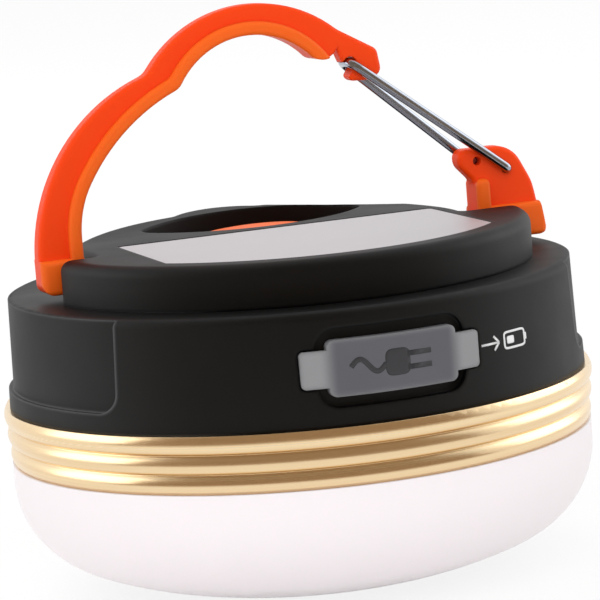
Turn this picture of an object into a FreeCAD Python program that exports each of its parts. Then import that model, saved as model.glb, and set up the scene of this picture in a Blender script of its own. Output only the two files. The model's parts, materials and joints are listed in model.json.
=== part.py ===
import FreeCAD, Part
import math
import os

# Camping lantern: a milky dome under a gold trim ring, a dark housing, and an end cap whose
# folding handle is a snap hook with a sprung wire gate. Millimetres, +Z up, origin at the
# middle of the dome's resting flat, X along the handle's axle, -Y towards the charging port.

# Overall stack, from the dome's flat upwards
ring_diameter = 88.0
dome_height = 20.7
ring_height = 8.4
body_height = 16.2
cap_height = 6.4

# Diffuser dome
dome_inset = 0.6
dome_wall = 2.0
dome_flat_radius = 11.0
dome_knuckle_radius = 14.0
dome_skirt = 2.9
dome_rim_depth = 1.6
spigot_height = 3.6
spigot_wall = 2.0

# Trim ring
ring_wall = 2.3
bead_count = 3
bead_step = 0.25
groove_depth = 0.55
ring_lip = 0.35
ring_fit = 0.1

# Housing
body_inset = 0.95
body_draft = 0.65
shoulder_round = 1.2
skirt_height = 3.6
deck_thickness = 2.2
post_radius = 3.2
post_gap = 0.2
post_angle = 45.0
pilot_radius = 1.0
switch_clear = 1.0
board_skin = 0.6
pocket_half_width = 24.6
pocket_rise = 2.8
pocket_depth_low = 0.7
pocket_depth_high = 0.5
pocket_corner = 3.0

# Charging ports and their covers
port_rise = 8.15
port_recess_width = 22.0
port_recess_height = 11.1
port_recess_depth = 1.0
port_recess_corner = 3.0
cover_width = 18.9
cover_height = 7.9
cover_corner = 1.0
tab_span = 26.3
tab_height = 5.2
tab_corner = 0.6
cover_proud = 0.45
tab_thickness = 0.9
cover_gap = 0.2
plug_depth = 1.1
plug_inset = 0.35
input_width = 8.9
input_height = 3.3
input_depth = 7.4
output_width = 13.1
output_height = 5.7
output_depth = 14.0
socket_wall = 0.35
socket_setback = 1.4
socket_gap = 0.2
tongue_share = 0.36
tongue_margin = 1.2
tongue_setback = 0.8

# End cap
cap_ledge = 4.7
cap_round = 1.6
cap_end_round = 1.9
cap_wall = 2.4
cap_top = 1.9
cap_waist_round = 2.2
cap_corner_round = 0.6
cap_slot_front = 3.3
lobe_shift = 1.6
brow_mid_rise = 0.6
brow_rise = 2.1
fold_gap = 0.8

# Label plate
label_width = 49.6
label_rear = 3.7
label_margin = 4.3
label_thickness = 0.4
label_sink = 0.05
label_corner = 0.8
label_gap = 0.12

# Push button in its tub
tub_inset = 19.0
tub_centre = 13.6
tub_ends = 15.4
tub_end_round = 2.5
tub_front_bow = 6.6
tub_rear_bow = 6.8
tub_depth = 3.4
tub_wall = 1.2
button_room = 8.0
button_length = 8.6
button_sink = 0.65
button_crown = 0.7
button_gap = 0.3
button_flange = 1.5
flange_thickness = 0.7
button_travel = 0.8
button_round = 1.6

# Handle, drawn upright in its own plane, heights above the axle
axle_rise = 3.4
axle_diameter = 3.6
axle_fit = 0.1
clamp_gap = 0.05
clamp_setback = 0.2
clamp_length = 6.4
web_thickness = 3.2
rib_thickness = 5.4
rib_width = 2.0
leg_inset = 4.8
leg_width = 6.6
leg_hollow = 2.1
leg_round = 15.0
side_outer_radius = 27.4
side_outer_rise = 2.1
side_inner_radius = 29.7
side_inner_rise = -1.9
crown_lift = 4.6
crown_width = 4.5
top_outer_radius = 20.1
top_outer_side = -2.95
top_inner_radius = 12.9
top_inner_side = -3.7
waist_outer_round = 3.2
waist_inner_round = 2.4
foot_drop = 2.25
foot_ridge = 2.9
foot_round = 0.8
foot_corner = 2.0
foot_front_round = 0.9
foot_rear_round = 1.7
right_inset = 6.2
right_foot_width = 11.0
right_foot_top = 11.8
right_lobe_reach = 2.4
right_lobe_low = 9.4
right_lobe_fall = 2.6
right_knee_inset = 1.5
right_knee_rise = 5.9
right_brow_inset = 4.5
right_rib_top = 7.2
right_rib_width = 2.2
right_rib_round = 1.0
crown_end_deg = 50.0
crown_inner_end_deg = 43.0
nose_blend = 6.0
nose_slope_deg = 30.0
nose_reach = 6.4
nose_front_place = (11.17, -3.6)
nose_chin_place = (8.67, -4.4)
nose_heel_place = (6.07, -4.3)
nose_notch_place = (4.17, 0.7)
rib_end_place = (1.87, -0.6)
nose_round = 1.4
chin_round = 0.9
lobe_round = 1.4
lobe_under_round = 2.2
neck_round = 2.5
knee_round = 8.0
brow_round = 4.6
right_corner = 1.2
handle_edge = 0.7
rib_waist_round = 2.0

# Wire gate
wire_diameter = 1.4
wire_gap = 0.1
wire_fit = 0.05
gate_hinge_inset = 5.7
gate_hinge_rise = 8.3
gate_second_reach = 0.6
gate_second_rise = 9.9
gate_nose_place = (5.97, -1.5)
gate_turn = 1.6
gate_open_deg = 22.0
gate_stub = 1.6
slot_clear = 0.2
nose_slot_clear = 0.3
nose_slot_shift = 0.2
nose_slot_run = 12.0
dot_diameter = 1.3
dot_depth = 1.6

# Power pack, boards and light engine
chassis_thickness = 2.0
chassis_gap = 0.4
chassis_sink = 0.3
led_board_radius = 21.0
led_board_thickness = 1.6
led_count = 16
led_circle = 15.0
led_size = 3.0
led_height = 0.8
led_screw_skin = 0.8
cell_diameter = 18.5
cell_end_room = 7.1
cell_cap = 6.0
cell_cap_height = 0.6
cell_round = 0.8
cradle_length = 40.0
cradle_width = 22.0
cradle_height = 7.0
cradle_floor = 0.75
cradle_gap = 0.1
cradle_corner = 2.0
tab_plate = 0.3
tab_plate_width = 7.0
board_side_gap = 2.4
board_end_gap = 4.1
board_thickness = 1.6
board_corner = 3.0
switch_size = 6.2
switch_height = 3.1
plunger_diameter = 3.4
plunger_rise = 0.9
plunger_fit = 0.1
plunger_spare = 0.2
lead_diameter = 1.5
lead_bend = 4.0
lead_hole_gap = 0.3
lead_pitch = 4.4
lead_offset = 4.0
lead_reach = 4.8
lead_rise = 1.0
lead_margin = 3.0
input_chips = (
    (-4.0, 4.0, 7.8, 14.8, 1.6),
    (7.0, 12.0, 7.8, 12.8, 2.4),
)
output_chips = (
    (-9.0, -5.0, 3.2, 7.2, 1.4),
    (5.0, 10.0, 2.7, 7.7, 1.4),
)
capacitor_place = (-10.0, 10.8)
capacitor_radius = 2.2
capacitor_height = 3.0
magnet_diameter = 10.0
magnet_thickness = 2.2
magnet_x = 14.0
magnet_y = 16.0
magnet_cover = 0.5
magnet_gap = 0.1

# Screws
screw_head = 4.2
screw_head_height = 1.4
screw_shank = 2.0
screw_hole_gap = 0.25
screw_bite = 4.5
screw_spare = 0.3
drive_width = 0.6
drive_depth = 0.7
cap_screw_places = ((-150.75, 7.85), (-29.25, 7.85), (160.35, 9.75), (21.35, 12.9))
cap_boss_radius = 2.9
board_screw_inset = 3.5
board_screw_y = 24.0
led_screw_circle = 7.0

# Levels and radii that follow
z_ring = dome_height
z_body = z_ring + ring_height
z_shoulder = z_body + body_height
z_cap = z_shoulder + cap_height
z_axle = z_shoulder + axle_rise
z_deck = z_shoulder - deck_thickness
z_port = z_body + port_rise
ring_radius = ring_diameter / 2
bore_radius = ring_radius - ring_wall
spigot_radius = bore_radius - ring_fit
dome_radius = ring_radius - dome_inset
body_radius = ring_radius - body_inset
inner_radius = spigot_radius - spigot_wall
post_circle = inner_radius - post_gap - post_radius
cap_radius = body_radius - body_draft - shoulder_round - cap_ledge
label_front_radius = cap_radius - label_margin
tub_width = 2 * (cap_radius - tub_inset)
button_width = tub_width - 2 * button_room
cell_length = 2 * (inner_radius - cell_end_room)
board_width = 2 * (post_circle * math.cos(math.radians(post_angle)) - post_radius - board_side_gap)
board_length = 2 * (inner_radius - board_end_gap)
board_screw_x = board_width / 2 - board_screw_inset
z_spigot = z_ring + spigot_height
z_skirt = z_body - skirt_height
axle_radius = axle_diameter / 2
wire_radius = wire_diameter / 2
leg_plane = web_thickness / 2 + wire_gap + wire_radius
z_chassis = z_ring - chassis_sink
z_cell = z_chassis + cradle_floor + cell_diameter / 2
z_board = z_port + output_height / 2
z_board_top = z_board + board_thickness
big = 3 * ring_diameter
lap = 0.1
past = 1.0
UP = FreeCAD.Vector(0, 0, 1)
ALONG_X = FreeCAD.Vector(1, 0, 0)
ALONG_Y = FreeCAD.Vector(0, 1, 0)


def flat(a, b):
    """A point of a plan, at height zero."""
    return FreeCAD.Vector(a, b, 0)


def upright(a, b):
    """A point of the handle's plane: X and the height above the axle."""
    return FreeCAD.Vector(a, 0, z_axle + b)


def profile(a, b):
    """A point of a turned profile: radius and height."""
    return FreeCAD.Vector(a, 0, b)


def facing(a, b):
    """A point of a port's outline, seen from the front: X and the height above the port."""
    return FreeCAD.Vector(a, 0, z_port + b)


def polar(centre, radius, degrees):
    """The point at an angle on a circle."""
    angle = math.radians(degrees)
    return (centre[0] + radius * math.cos(angle), centre[1] + radius * math.sin(angle))


def bearing(centre, point):
    """The angle of a point seen from a centre, in degrees."""
    return math.degrees(math.atan2(point[1] - centre[1], point[0] - centre[0]))


def beside(point, step):
    """A point moved by a step in its plane."""
    return (point[0] + step[0], point[1] + step[1])


# Hook's feet, circles and gate that follow
leg_inner = cap_radius - leg_inset
crown_inner = side_inner_rise + side_inner_radius + crown_lift
side_inner_centre = (side_inner_radius - leg_inner - leg_hollow, side_inner_rise)
side_outer_centre = (side_outer_radius - leg_inner - leg_width, side_outer_rise)
leg_outer = -leg_inner - leg_width
leg_arm = side_inner_radius - leg_round
leg_bend_rise = side_inner_rise + math.sqrt(leg_arm ** 2 - (leg_arm - leg_hollow) ** 2)
leg_bend = (leg_round - leg_inner, leg_bend_rise)
leg_turn = bearing(side_inner_centre, leg_bend)
top_inner_centre = (top_inner_side, crown_inner - top_inner_radius)
top_outer_centre = (top_outer_side, crown_inner + crown_width - top_outer_radius)
crown_end = polar(top_inner_centre, top_inner_radius, crown_inner_end_deg)
nose_front = beside(crown_end, nose_front_place)
nose_chin = beside(crown_end, nose_chin_place)
nose_heel = beside(crown_end, nose_heel_place)
nose_notch = beside(crown_end, nose_notch_place)
rib_end = beside(crown_end, rib_end_place)
right_foot_inner = cap_radius - right_inset
right_foot_outer = right_foot_inner + right_foot_width
right_lobe = right_foot_inner - right_lobe_reach
right_knee = (right_foot_outer - right_knee_inset, right_knee_rise)
right_brow = right_foot_outer - right_brow_inset
gate_hinge = (right_foot_outer - gate_hinge_inset, gate_hinge_rise)
gate_second = (right_foot_inner + gate_second_reach, gate_second_rise)
gate_nose = beside(crown_end, gate_nose_place)


def chain(place, start, steps):
    """A closed face from lines (end,) and arcs (middle, end) that follow one another."""
    edges = []
    here = start
    for step in steps:
        if len(step) == 1:
            edges.append(Part.LineSegment(place(*here), place(*step[0])).toShape())
        else:
            edges.append(Part.Arc(place(*here), place(*step[0]), place(*step[1])).toShape())
        here = step[-1]
    if math.dist(here, start) > 1e-6:
        edges.append(Part.LineSegment(place(*here), place(*start)).toShape())
    return Part.Face(Part.Wire(edges))


def bend(before, corner, after, radius):
    """A line to a corner and the tangent arc that turns it."""
    here = flat(*corner)
    back = (flat(*before) - here).normalize()
    ahead = (flat(*after) - here).normalize()
    half = back.getAngle(ahead) / 2
    reach = radius / math.tan(half)
    middle = here + (back + ahead).normalize() * (radius / math.sin(half) - radius)
    first = here + back * reach
    last = here + ahead * reach
    return [((first.x, first.y),), ((middle.x, middle.y), (last.x, last.y))]


def rounded(place, corners):
    """A closed face through corners (a, b, radius), each turned with a tangent arc."""
    path = []
    for index, corner in enumerate(corners):
        after = corners[(index + 1) % len(corners)]
        path += bend(corners[index - 1][:2], corner[:2], after[:2], corner[2])
    start = path[-1][-1]
    return chain(place, start, path)


def oblong(width, height, radius, grow=0.0):
    """The corners of a rounded rectangle about the origin, grown on every side."""
    a = width / 2 + grow
    b = height / 2 + grow
    r = min(radius + grow, 0.999 * a, 0.999 * b)
    return [(-a, -b, r), (a, -b, r), (a, b, r), (-a, b, r)]


def shifted(corners, x, y):
    """The same corners, moved in their plane."""
    return [(c[0] + x, c[1] + y, c[2]) for c in corners]


def turned(face):
    """A solid of revolution about the lantern's axis."""
    return face.revolve(FreeCAD.Vector(), UP, 360)


def prism(face, z_low, z_high):
    """A plan carried from one height to another."""
    solid = face.extrude(UP * (z_high - z_low))
    solid.translate(UP * z_low)
    return solid


def slab(face, thickness):
    """An upright outline carried to both sides of the plane Y = 0."""
    solid = face.extrude(ALONG_Y * thickness)
    solid.translate(ALONG_Y * (-thickness / 2))
    return solid


def rod(radius, start, end):
    """A round rod between two points."""
    return Part.makeCylinder(radius, (end - start).Length, start, end - start)


def post(radius, x, y, z_low, z_high):
    """An upright round post."""
    return Part.makeCylinder(radius, z_high - z_low, FreeCAD.Vector(x, y, z_low))


def block(x0, x1, y0, y1, z0, z1):
    """A box between two corners."""
    return Part.makeBox(x1 - x0, y1 - y0, z1 - z0, FreeCAD.Vector(x0, y0, z0))


def united(solids):
    """Several solids joined into one, with seams in one surface removed."""
    whole = solids[0]
    if len(solids) > 1:
        whole = whole.multiFuse(solids[1:])
    return whole.removeSplitter()


def upright_edges(shape, places, reach):
    """The vertical edges that stand within reach of the given plan points."""
    found = []
    for edge in shape.Edges:
        low, high = edge.BoundBox.ZMin, edge.BoundBox.ZMax
        if high - low < 0.1 or edge.BoundBox.XLength > 1e-4 or edge.BoundBox.YLength > 1e-4:
            continue
        middle = edge.CenterOfMass
        if any(math.dist((middle.x, middle.y), p) < reach for p in places):
            found.append(edge)
    return found


def tube(points, radius, bend):
    """A round wire along straight runs, with a tangent arc at each inner point."""
    edges = []
    here = points[0]
    for before, corner, after in zip(points, points[1:], points[2:]):
        back = (before - corner).normalize()
        ahead = (after - corner).normalize()
        half = back.getAngle(ahead) / 2
        reach = bend / math.tan(half)
        first = corner + back * reach
        last = corner + ahead * reach
        middle = corner + (back + ahead).normalize() * (bend / math.sin(half) - bend)
        if (first - here).Length > 1e-6:
            edges.append(Part.LineSegment(here, first).toShape())
        edges.append(Part.Arc(first, middle, last).toShape())
        here = last
    edges.append(Part.LineSegment(here, points[-1]).toShape())
    path = Part.Wire(edges)
    section = Part.Wire(Part.makeCircle(radius, points[0], points[1] - points[0]))
    return path.makePipeShell([section], True, False)


def screw(x, y, z_seat, length):
    """A pan-head screw that points up from its seat, with a cross recess in the head."""
    seat = FreeCAD.Vector(x, y, z_seat)
    head = Part.makeCylinder(screw_head / 2, screw_head_height, seat - UP * screw_head_height)
    shank = Part.makeCylinder(screw_shank / 2, length, seat)
    arm = screw_head / 4
    half = drive_width / 2
    z_low = z_seat - screw_head_height - lap
    z_high = z_seat - screw_head_height + drive_depth
    cross = block(x - arm, x + arm, y - half, y + half, z_low, z_high)
    cross = cross.fuse(block(x - half, x + half, y - arm, y + arm, z_low, z_high))
    return united([head, shank]).cut(cross)


def save(name, *solids):
    """One node's file, with one solid or a group of separate ones."""
    shape = solids[0] if len(solids) == 1 else Part.makeCompound(list(solids))
    if len(solids) == 1 and len(shape.Solids) == 1:
        shape = shape.Solids[0]
    assert shape.isValid() and len(shape.Solids) == len(solids), name
    shape.exportStep("parts/" + name + ".step")


def arc_step(centre, radius, start, end):
    """The middle and end of an arc between two angles on a circle."""
    return (polar(centre, radius, (start + end) / 2), polar(centre, radius, end))


def dome_curve(inset):
    """Crown and knuckle of the dome: two tangent arcs, drawn inside the outer skin by inset."""
    knuckle = (dome_radius - dome_knuckle_radius, z_ring - dome_skirt)
    run = knuckle[0] - dome_flat_radius
    rise = knuckle[1] ** 2 - dome_knuckle_radius ** 2 + run ** 2
    crown_radius = rise / (2 * (knuckle[1] - dome_knuckle_radius))
    crown = (dome_flat_radius, crown_radius)
    meet = bearing(crown, knuckle)
    crown_step = arc_step(crown, crown_radius - inset, -90, meet)
    knuckle_step = arc_step(knuckle, dome_knuckle_radius - inset, meet, 0)
    return crown_step, knuckle_step


def make_dome():
    outer_crown, outer_knuckle = dome_curve(0)
    inner_crown, inner_knuckle = dome_curve(dome_wall)
    z_rim = z_ring - dome_rim_depth
    z_wall = z_ring - dome_skirt
    outer = [((dome_flat_radius, 0),), outer_crown, outer_knuckle, ((dome_radius, z_ring),)]
    spigot = [
        ((spigot_radius, z_ring),),
        ((spigot_radius, z_spigot),),
        ((inner_radius, z_spigot),),
        ((inner_radius, z_rim),),
        ((dome_radius - dome_wall, z_rim),),
        ((dome_radius - dome_wall, z_wall),),
    ]
    inner_flat = polar((dome_flat_radius, 0), dome_wall, 90)
    inside = [
        (inner_knuckle[0], inner_crown[1]),
        (inner_crown[0], inner_flat),
        ((0, dome_wall),),
    ]
    return turned(chain(profile, (0, 0), outer + spigot + inside))


def make_ring():
    bead_height = ring_height / bead_count
    steps = []
    for index in range(bead_count):
        crest = ring_radius - (bead_count - 1 - index) * bead_step
        top = index == bead_count - 1
        low = z_ring + index * bead_height
        edge = crest - (ring_lip if top else groove_depth)
        steps.append(((crest, low + bead_height / 2), (edge, low + bead_height)))
    foot = ring_radius - (bead_count - 1) * bead_step - groove_depth
    steps.append(((bore_radius, z_body),))
    steps.append(((bore_radius, z_ring),))
    return turned(chain(profile, (foot, z_ring), steps))


def make_gasket():
    steps = [
        ((spigot_radius, z_spigot),),
        ((spigot_radius, z_skirt),),
        ((inner_radius, z_skirt),),
    ]
    return turned(chain(profile, (inner_radius, z_spigot), steps))


def post_places():
    """The four places of the housing's screw posts."""
    return [polar((0, 0), post_circle, post_angle + 90 * n) for n in range(4)]


def port_floor_radius():
    """Radius of the port recess's floor, under the housing's skin at the port's height."""
    return skin_radius(z_port) - port_recess_depth


def skin_radius(z):
    """Radius of the housing's drafted skin at a height."""
    return body_radius - body_draft * (z - z_body) / body_height


def port_tool(corners, floor_radius):
    """A cutter in front of a curved floor, with a port outline."""
    tool = rounded(facing, corners).extrude(ALONG_Y * -ring_diameter)
    return tool.cut(Part.makeCylinder(floor_radius, z_cap))


def half_turn(shape):
    """A copy turned to the opposite side of the lantern."""
    copy = shape.copy()
    copy.rotate(FreeCAD.Vector(), UP, 180)
    return copy


def tab_floor_radius():
    """Radius of the shallow seat under the cover's end tabs."""
    return skin_radius(z_port) + cover_proud - tab_thickness - cover_gap


def socket_window(width, height):
    """The passage through the housing's wall in front of a socket."""
    reach = ring_diameter
    tool = rounded(facing, oblong(width, height, height / 4, socket_gap))
    return tool.extrude(ALONG_Y * -reach)


def make_housing():
    z_round = z_shoulder - shoulder_round
    rim = skin_radius(z_round)
    centre = (rim - shoulder_round, z_round)
    steps = [
        ((body_radius, z_body),),
        ((rim, z_round),),
        arc_step(centre, shoulder_round, 0, 90),
        ((0, z_shoulder),),
        ((0, z_deck),),
        ((inner_radius, z_deck),),
        ((inner_radius, z_skirt),),
        ((spigot_radius, z_skirt),),
    ]
    shell = turned(chain(profile, (spigot_radius, z_body), steps))
    posts = [post(post_radius, x, y, z_chassis, z_deck + lap) for x, y in post_places()]
    shell = united([shell] + posts)
    top = z_cap - z_port
    low = pocket_rise - port_rise
    outline = [
        (-pocket_half_width, low, pocket_corner),
        (pocket_half_width, low, pocket_corner),
        (pocket_half_width, top, pocket_depth_low),
        (-pocket_half_width, top, pocket_depth_low),
    ]
    pocket = rounded(facing, outline).extrude(ALONG_Y * -ring_diameter)
    z_pocket = z_body + pocket_rise
    floor_low = skin_radius(z_pocket) - pocket_depth_low
    floor_high = skin_radius(z_shoulder) - pocket_depth_high
    slope = (floor_high - floor_low) / (z_shoulder - z_pocket)
    foot = floor_low - slope * z_pocket
    head = floor_low + slope * (z_cap - z_pocket)
    pocket = pocket.cut(Part.makeCone(foot, head, z_cap))
    cuts = []
    for turn in (90, 270):
        side = pocket.copy()
        side.rotate(FreeCAD.Vector(), UP, turn)
        cuts.append(side)
    hollow = oblong(port_recess_width, port_recess_height, port_recess_corner)
    recess = port_tool(hollow, port_floor_radius())
    seat = port_tool(oblong(tab_span, tab_height, tab_corner, cover_gap), tab_floor_radius())
    cuts += [recess, seat, half_turn(recess), half_turn(seat)]
    cuts.append(socket_window(input_width, input_height))
    cuts.append(half_turn(socket_window(output_width, output_height)))
    for x, y in post_places():
        cuts.append(post(pilot_radius, x, y, z_chassis - past, z_chassis + screw_bite + past))
    for x, y in cap_screws_at():
        cuts.append(post(screw_shank / 2 + screw_hole_gap, x, y, z_deck - past, z_cap))
    for x, y in board_screws_at():
        cuts.append(post(pilot_radius, x, y, z_deck - past, z_deck + board_bite()))
    half = switch_size / 2 + switch_clear
    cuts.append(block(-half, half, tub_centre - half, tub_centre + half, z_deck - past, z_cap))
    standoffs = []
    for x, y in board_screws_at():
        pad = post(2 * pilot_radius, x, y, z_board_top, z_deck + lap)
        standoffs.append(pad.cut(post(pilot_radius, x, y, z_board_top - past, z_cap)))
    shell = united([shell] + standoffs)
    for cut in cuts:
        shell = shell.cut(cut)
    return shell


def board_bite():
    """Thread depth of the board screws in the deck."""
    return deck_thickness - board_skin


def board_screws_at():
    """The four places of the board's screws."""
    return [(x, y) for x in (-board_screw_x, board_screw_x) for y in (-board_screw_y, board_screw_y)]


def cap_screws_at():
    """The four places of the cap's screws, each at an angle and an inset from the cap's rim."""
    return [polar((0, 0), cap_radius - inset, degrees) for degrees, inset in cap_screw_places]


def rear_right():
    """How far the cap's right rear may reach before it meets the folded right foot."""
    return min(right_foot_inner, math.hypot(right_lobe, right_lobe_low), math.hypot(*rib_end))


def cap_block(inset, z_low, z_high):
    """The end cap's form: a round front, and a rear that the folded handle lies around."""
    tall = z_high - z_low
    base = FreeCAD.Vector(0, 0, z_low)
    slot = -cap_slot_front - inset
    gap = fold_gap + inset
    front = Part.makeCylinder(cap_radius - inset, tall, base)
    front = front.common(block(-big, big, -big, slot, z_low, z_high))
    lobe_centre = (top_inner_centre[0] + lobe_shift, top_inner_centre[1])
    rear = []
    for centre, radius in (
        (side_inner_centre, side_inner_radius),
        (lobe_centre, top_inner_radius - lobe_shift),
        ((0, 0), rear_right()),
    ):
        rear.append(Part.makeCylinder(radius - gap, tall, FreeCAD.Vector(centre[0], centre[1], z_low)))
    rear[2] = rear[2].common(block(lobe_centre[0], big, -big, big, z_low, z_high))
    rear = united(rear)
    left = -leg_inner + gap
    right = rear_right() - gap
    rear = rear.common(block(left, right, slot - cap_end_round, big, z_low, z_high))
    along = (flat(*gate_second) - flat(*nose_heel)).normalize()
    square = FreeCAD.Vector(-along.y, along.x, 0)
    heel = flat(*nose_heel) - square * gap
    hinge = flat(*gate_second) - square * (gap + wire_radius)
    along = (hinge - heel).normalize()
    square = FreeCAD.Vector(-along.y, along.x, 0)
    corner = heel - along * big
    ahead = corner + along * 2 * big
    beyond = [corner, ahead, ahead + square * big, corner + square * big, corner]
    keep_out = prism(Part.Face(Part.makePolygon(beyond)), z_low, z_high)
    rear = rear.cut(keep_out)
    return united([front, rear])


def cap_roof():
    """Everything above the cap's top: flat in front, and a gentle rise behind the label."""

    def sideways(share, rise):
        return FreeCAD.Vector(-big, share * ring_radius, z_cap + rise)

    level = [sideways(share, 0) for share in (-1, -0.5, 0, 0.25)]
    poles = level + [sideways(0.5, brow_mid_rise), sideways(1, brow_rise)]
    sweep = Part.BSplineCurve()
    sweep.buildFromPolesMultsKnots(poles, [4, 1, 1, 4], [0, 1, 2, 3], False, 3)
    sides = Part.makePolygon([poles[-1], sideways(1, big), sideways(-1, big), poles[0]])
    return Part.Face(Part.Wire([sweep.toShape()] + sides.Edges)).extrude(ALONG_X * 2 * big)


def cap_form():
    """The cap's rounded outer form, before it is hollowed."""
    form = cap_block(0, z_shoulder, z_cap + cap_height).cut(cap_roof())
    end = math.sqrt(cap_radius ** 2 - cap_slot_front ** 2)
    ends = [(-end, -cap_slot_front), (end, -cap_slot_front)]
    form = form.makeFillet(cap_end_round, upright_edges(form, ends, cap_wall))
    inner = upright_edges(form, [(0, 0)], leg_inner)
    form = form.makeFillet(cap_waist_round, [edge for edge in inner if edge.CenterOfMass.y > 0])
    inner = upright_edges(form, [(-leg_inner, -cap_slot_front), (rear_right(), -cap_slot_front)], cap_wall)
    form = form.makeFillet(cap_corner_round, inner)
    rim = [edge for edge in form.Edges if edge.BoundBox.ZMin > z_cap - 1e-4]
    return form.makeFillet(cap_round, rim)


def tub_face(grow):
    """The push button's tub from above: small round ends, and a bowed front and rear tangent to them."""
    end = tub_end_round + grow
    reach = tub_width / 2 - tub_end_round
    front = (reach ** 2 - tub_front_bow ** 2) / (2 * tub_front_bow)
    rear = (reach ** 2 - tub_rear_bow ** 2) / (2 * tub_rear_bow)
    front_lean = math.degrees(math.atan2(front, reach))
    rear_lean = math.degrees(math.atan2(rear, reach))
    front_centre = (0, tub_ends + front)
    front_radius = end + tub_front_bow + front
    steps = [
        arc_step(front_centre, front_radius, 180 + front_lean, 360 - front_lean),
        arc_step((reach, tub_ends), end, -front_lean, rear_lean),
        arc_step((0, tub_ends - rear), end + tub_rear_bow + rear, rear_lean, 180 - rear_lean),
        arc_step((-reach, tub_ends), end, 180 - rear_lean, 180 + front_lean),
    ]
    return chain(flat, polar(front_centre, front_radius, 180 + front_lean), steps)


def label_face(grow):
    """The label: straight rear and sides, and a front edge that follows the cap's rim."""
    half = label_width / 2 + grow
    radius = label_front_radius + grow
    side = math.sqrt(radius ** 2 - half ** 2)
    rear = label_rear + grow
    steps = [
        ((half, rear),),
        ((half, -side),),
        ((0, -radius), (-half, -side)),
    ]
    return chain(flat, (-half, rear), steps)


def make_cap():
    z_ceiling = z_cap - cap_top
    z_tub = z_cap - tub_depth
    form = cap_form()
    hollow = cap_block(cap_wall, z_shoulder - past, z_ceiling)
    bosses = [post(cap_boss_radius, x, y, z_shoulder, z_ceiling + lap) for x, y in cap_screws_at()]
    tub = prism(tub_face(tub_wall), z_tub - tub_wall, z_ceiling + lap)
    shell = united([form.cut(hollow), tub] + bosses)
    shell = shell.cut(prism(tub_face(0), z_tub, z_cap + cap_height))
    hole = shifted(oblong(button_width, button_length, button_length / 2, button_gap), 0, tub_centre)
    shell = shell.cut(prism(rounded(flat, hole), z_shoulder, z_cap))
    shell = shell.cut(prism(label_face(label_gap), z_cap - label_thickness - label_sink, z_cap + past))
    axis_from = FreeCAD.Vector(-big, 0, z_axle)
    shell = shell.cut(rod(axle_radius + axle_fit, axis_from, FreeCAD.Vector(big, 0, z_axle)))
    half = axle_radius + axle_fit
    shell = shell.cut(block(-big, big, -half, half, z_shoulder - past, z_axle))
    for x in (-magnet_x, magnet_x):
        top = z_cap - label_thickness - magnet_cover
        shell = shell.cut(post(magnet_diameter / 2 + magnet_gap, x, -magnet_y, z_shoulder, top))
    for x, y in cap_screws_at():
        shell = shell.cut(post(pilot_radius, x, y, z_shoulder - past, z_ceiling))
    return shell


def make_clamps():
    half = axle_radius + axle_fit - clamp_gap
    bore = rod(axle_radius + axle_fit, FreeCAD.Vector(-big, 0, z_axle), FreeCAD.Vector(big, 0, z_axle))
    clamps = []
    for side, end in ((-1, leg_inner), (1, rear_right())):
        outer = side * (end - fold_gap - clamp_setback)
        inner = outer - side * clamp_length
        clamp = block(min(outer, inner), max(outer, inner), -half, half, z_shoulder, z_axle)
        clamps.append(clamp.cut(bore))
    return clamps


def make_label():
    face = label_face(0)
    plate = prism(face, z_cap - label_thickness - label_sink, z_cap - label_sink)
    corners = upright_edges(plate, [(0, 0)], big)
    return plate.makeFillet(label_corner, corners)


def make_magnets():
    top = z_cap - label_thickness - magnet_cover
    return [
        post(magnet_diameter / 2, x, -magnet_y, top - magnet_thickness, top) for x in (-magnet_x, magnet_x)
    ]


def outside_tangent(c1, r1, c2, r2):
    """The centre of a circle at distance r1 from one centre and r2 from another."""
    span = math.dist(c1, c2)
    along = (r1 ** 2 - r2 ** 2 + span ** 2) / (2 * span)
    off = math.sqrt(r1 ** 2 - along ** 2)
    ux = (c2[0] - c1[0]) / span
    uy = (c2[1] - c1[1]) / span
    return (c1[0] + ux * along - uy * off, c1[1] + uy * along + ux * off)


def arch_face():
    """Leg, side sweep, waist, crown and nose of the hook, as one outline of arcs and lines."""
    outer_waist = outside_tangent(
        side_outer_centre,
        side_outer_radius + waist_outer_round,
        top_outer_centre,
        top_outer_radius + waist_outer_round,
    )
    inner_waist = outside_tangent(
        side_inner_centre,
        side_inner_radius + waist_inner_round,
        top_inner_centre,
        top_inner_radius + waist_inner_round,
    )
    blend_centre = polar(top_outer_centre, top_outer_radius + nose_blend, crown_end_deg)
    blend = arc_step(blend_centre, nose_blend, crown_end_deg + 180, 270 - nose_slope_deg)
    nose_top = polar(blend[1], nose_reach, -nose_slope_deg)
    crown_turn = bearing(top_outer_centre, outer_waist)
    inner_turn = bearing(top_inner_centre, inner_waist)
    side_turn = bearing(side_inner_centre, inner_waist)
    steps = [
        ((leg_outer, side_outer_rise),),
        arc_step(side_outer_centre, side_outer_radius, 180, bearing(side_outer_centre, outer_waist)),
        waist_step(outer_waist, waist_outer_round, side_outer_centre, top_outer_centre),
        arc_step(top_outer_centre, top_outer_radius, crown_turn, crown_end_deg),
        blend,
    ]
    steps += bend(blend[1], nose_top, nose_front, nose_round)
    steps += bend(nose_top, nose_front, nose_chin, nose_round)
    steps += bend(nose_front, nose_chin, nose_heel, chin_round)
    steps += bend(nose_chin, nose_heel, nose_notch, chin_round)
    steps += [
        (nose_notch,),
        (rib_end, crown_end),
        arc_step(top_inner_centre, top_inner_radius, crown_inner_end_deg, inner_turn),
        waist_step(inner_waist, waist_inner_round, top_inner_centre, side_inner_centre),
        arc_step(side_inner_centre, side_inner_radius, side_turn, leg_turn),
        arc_step(leg_bend, leg_round, leg_turn, 180),
        ((-leg_inner, -foot_drop),),
    ]
    return chain(upright, (leg_outer, -foot_drop), steps)


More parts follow.
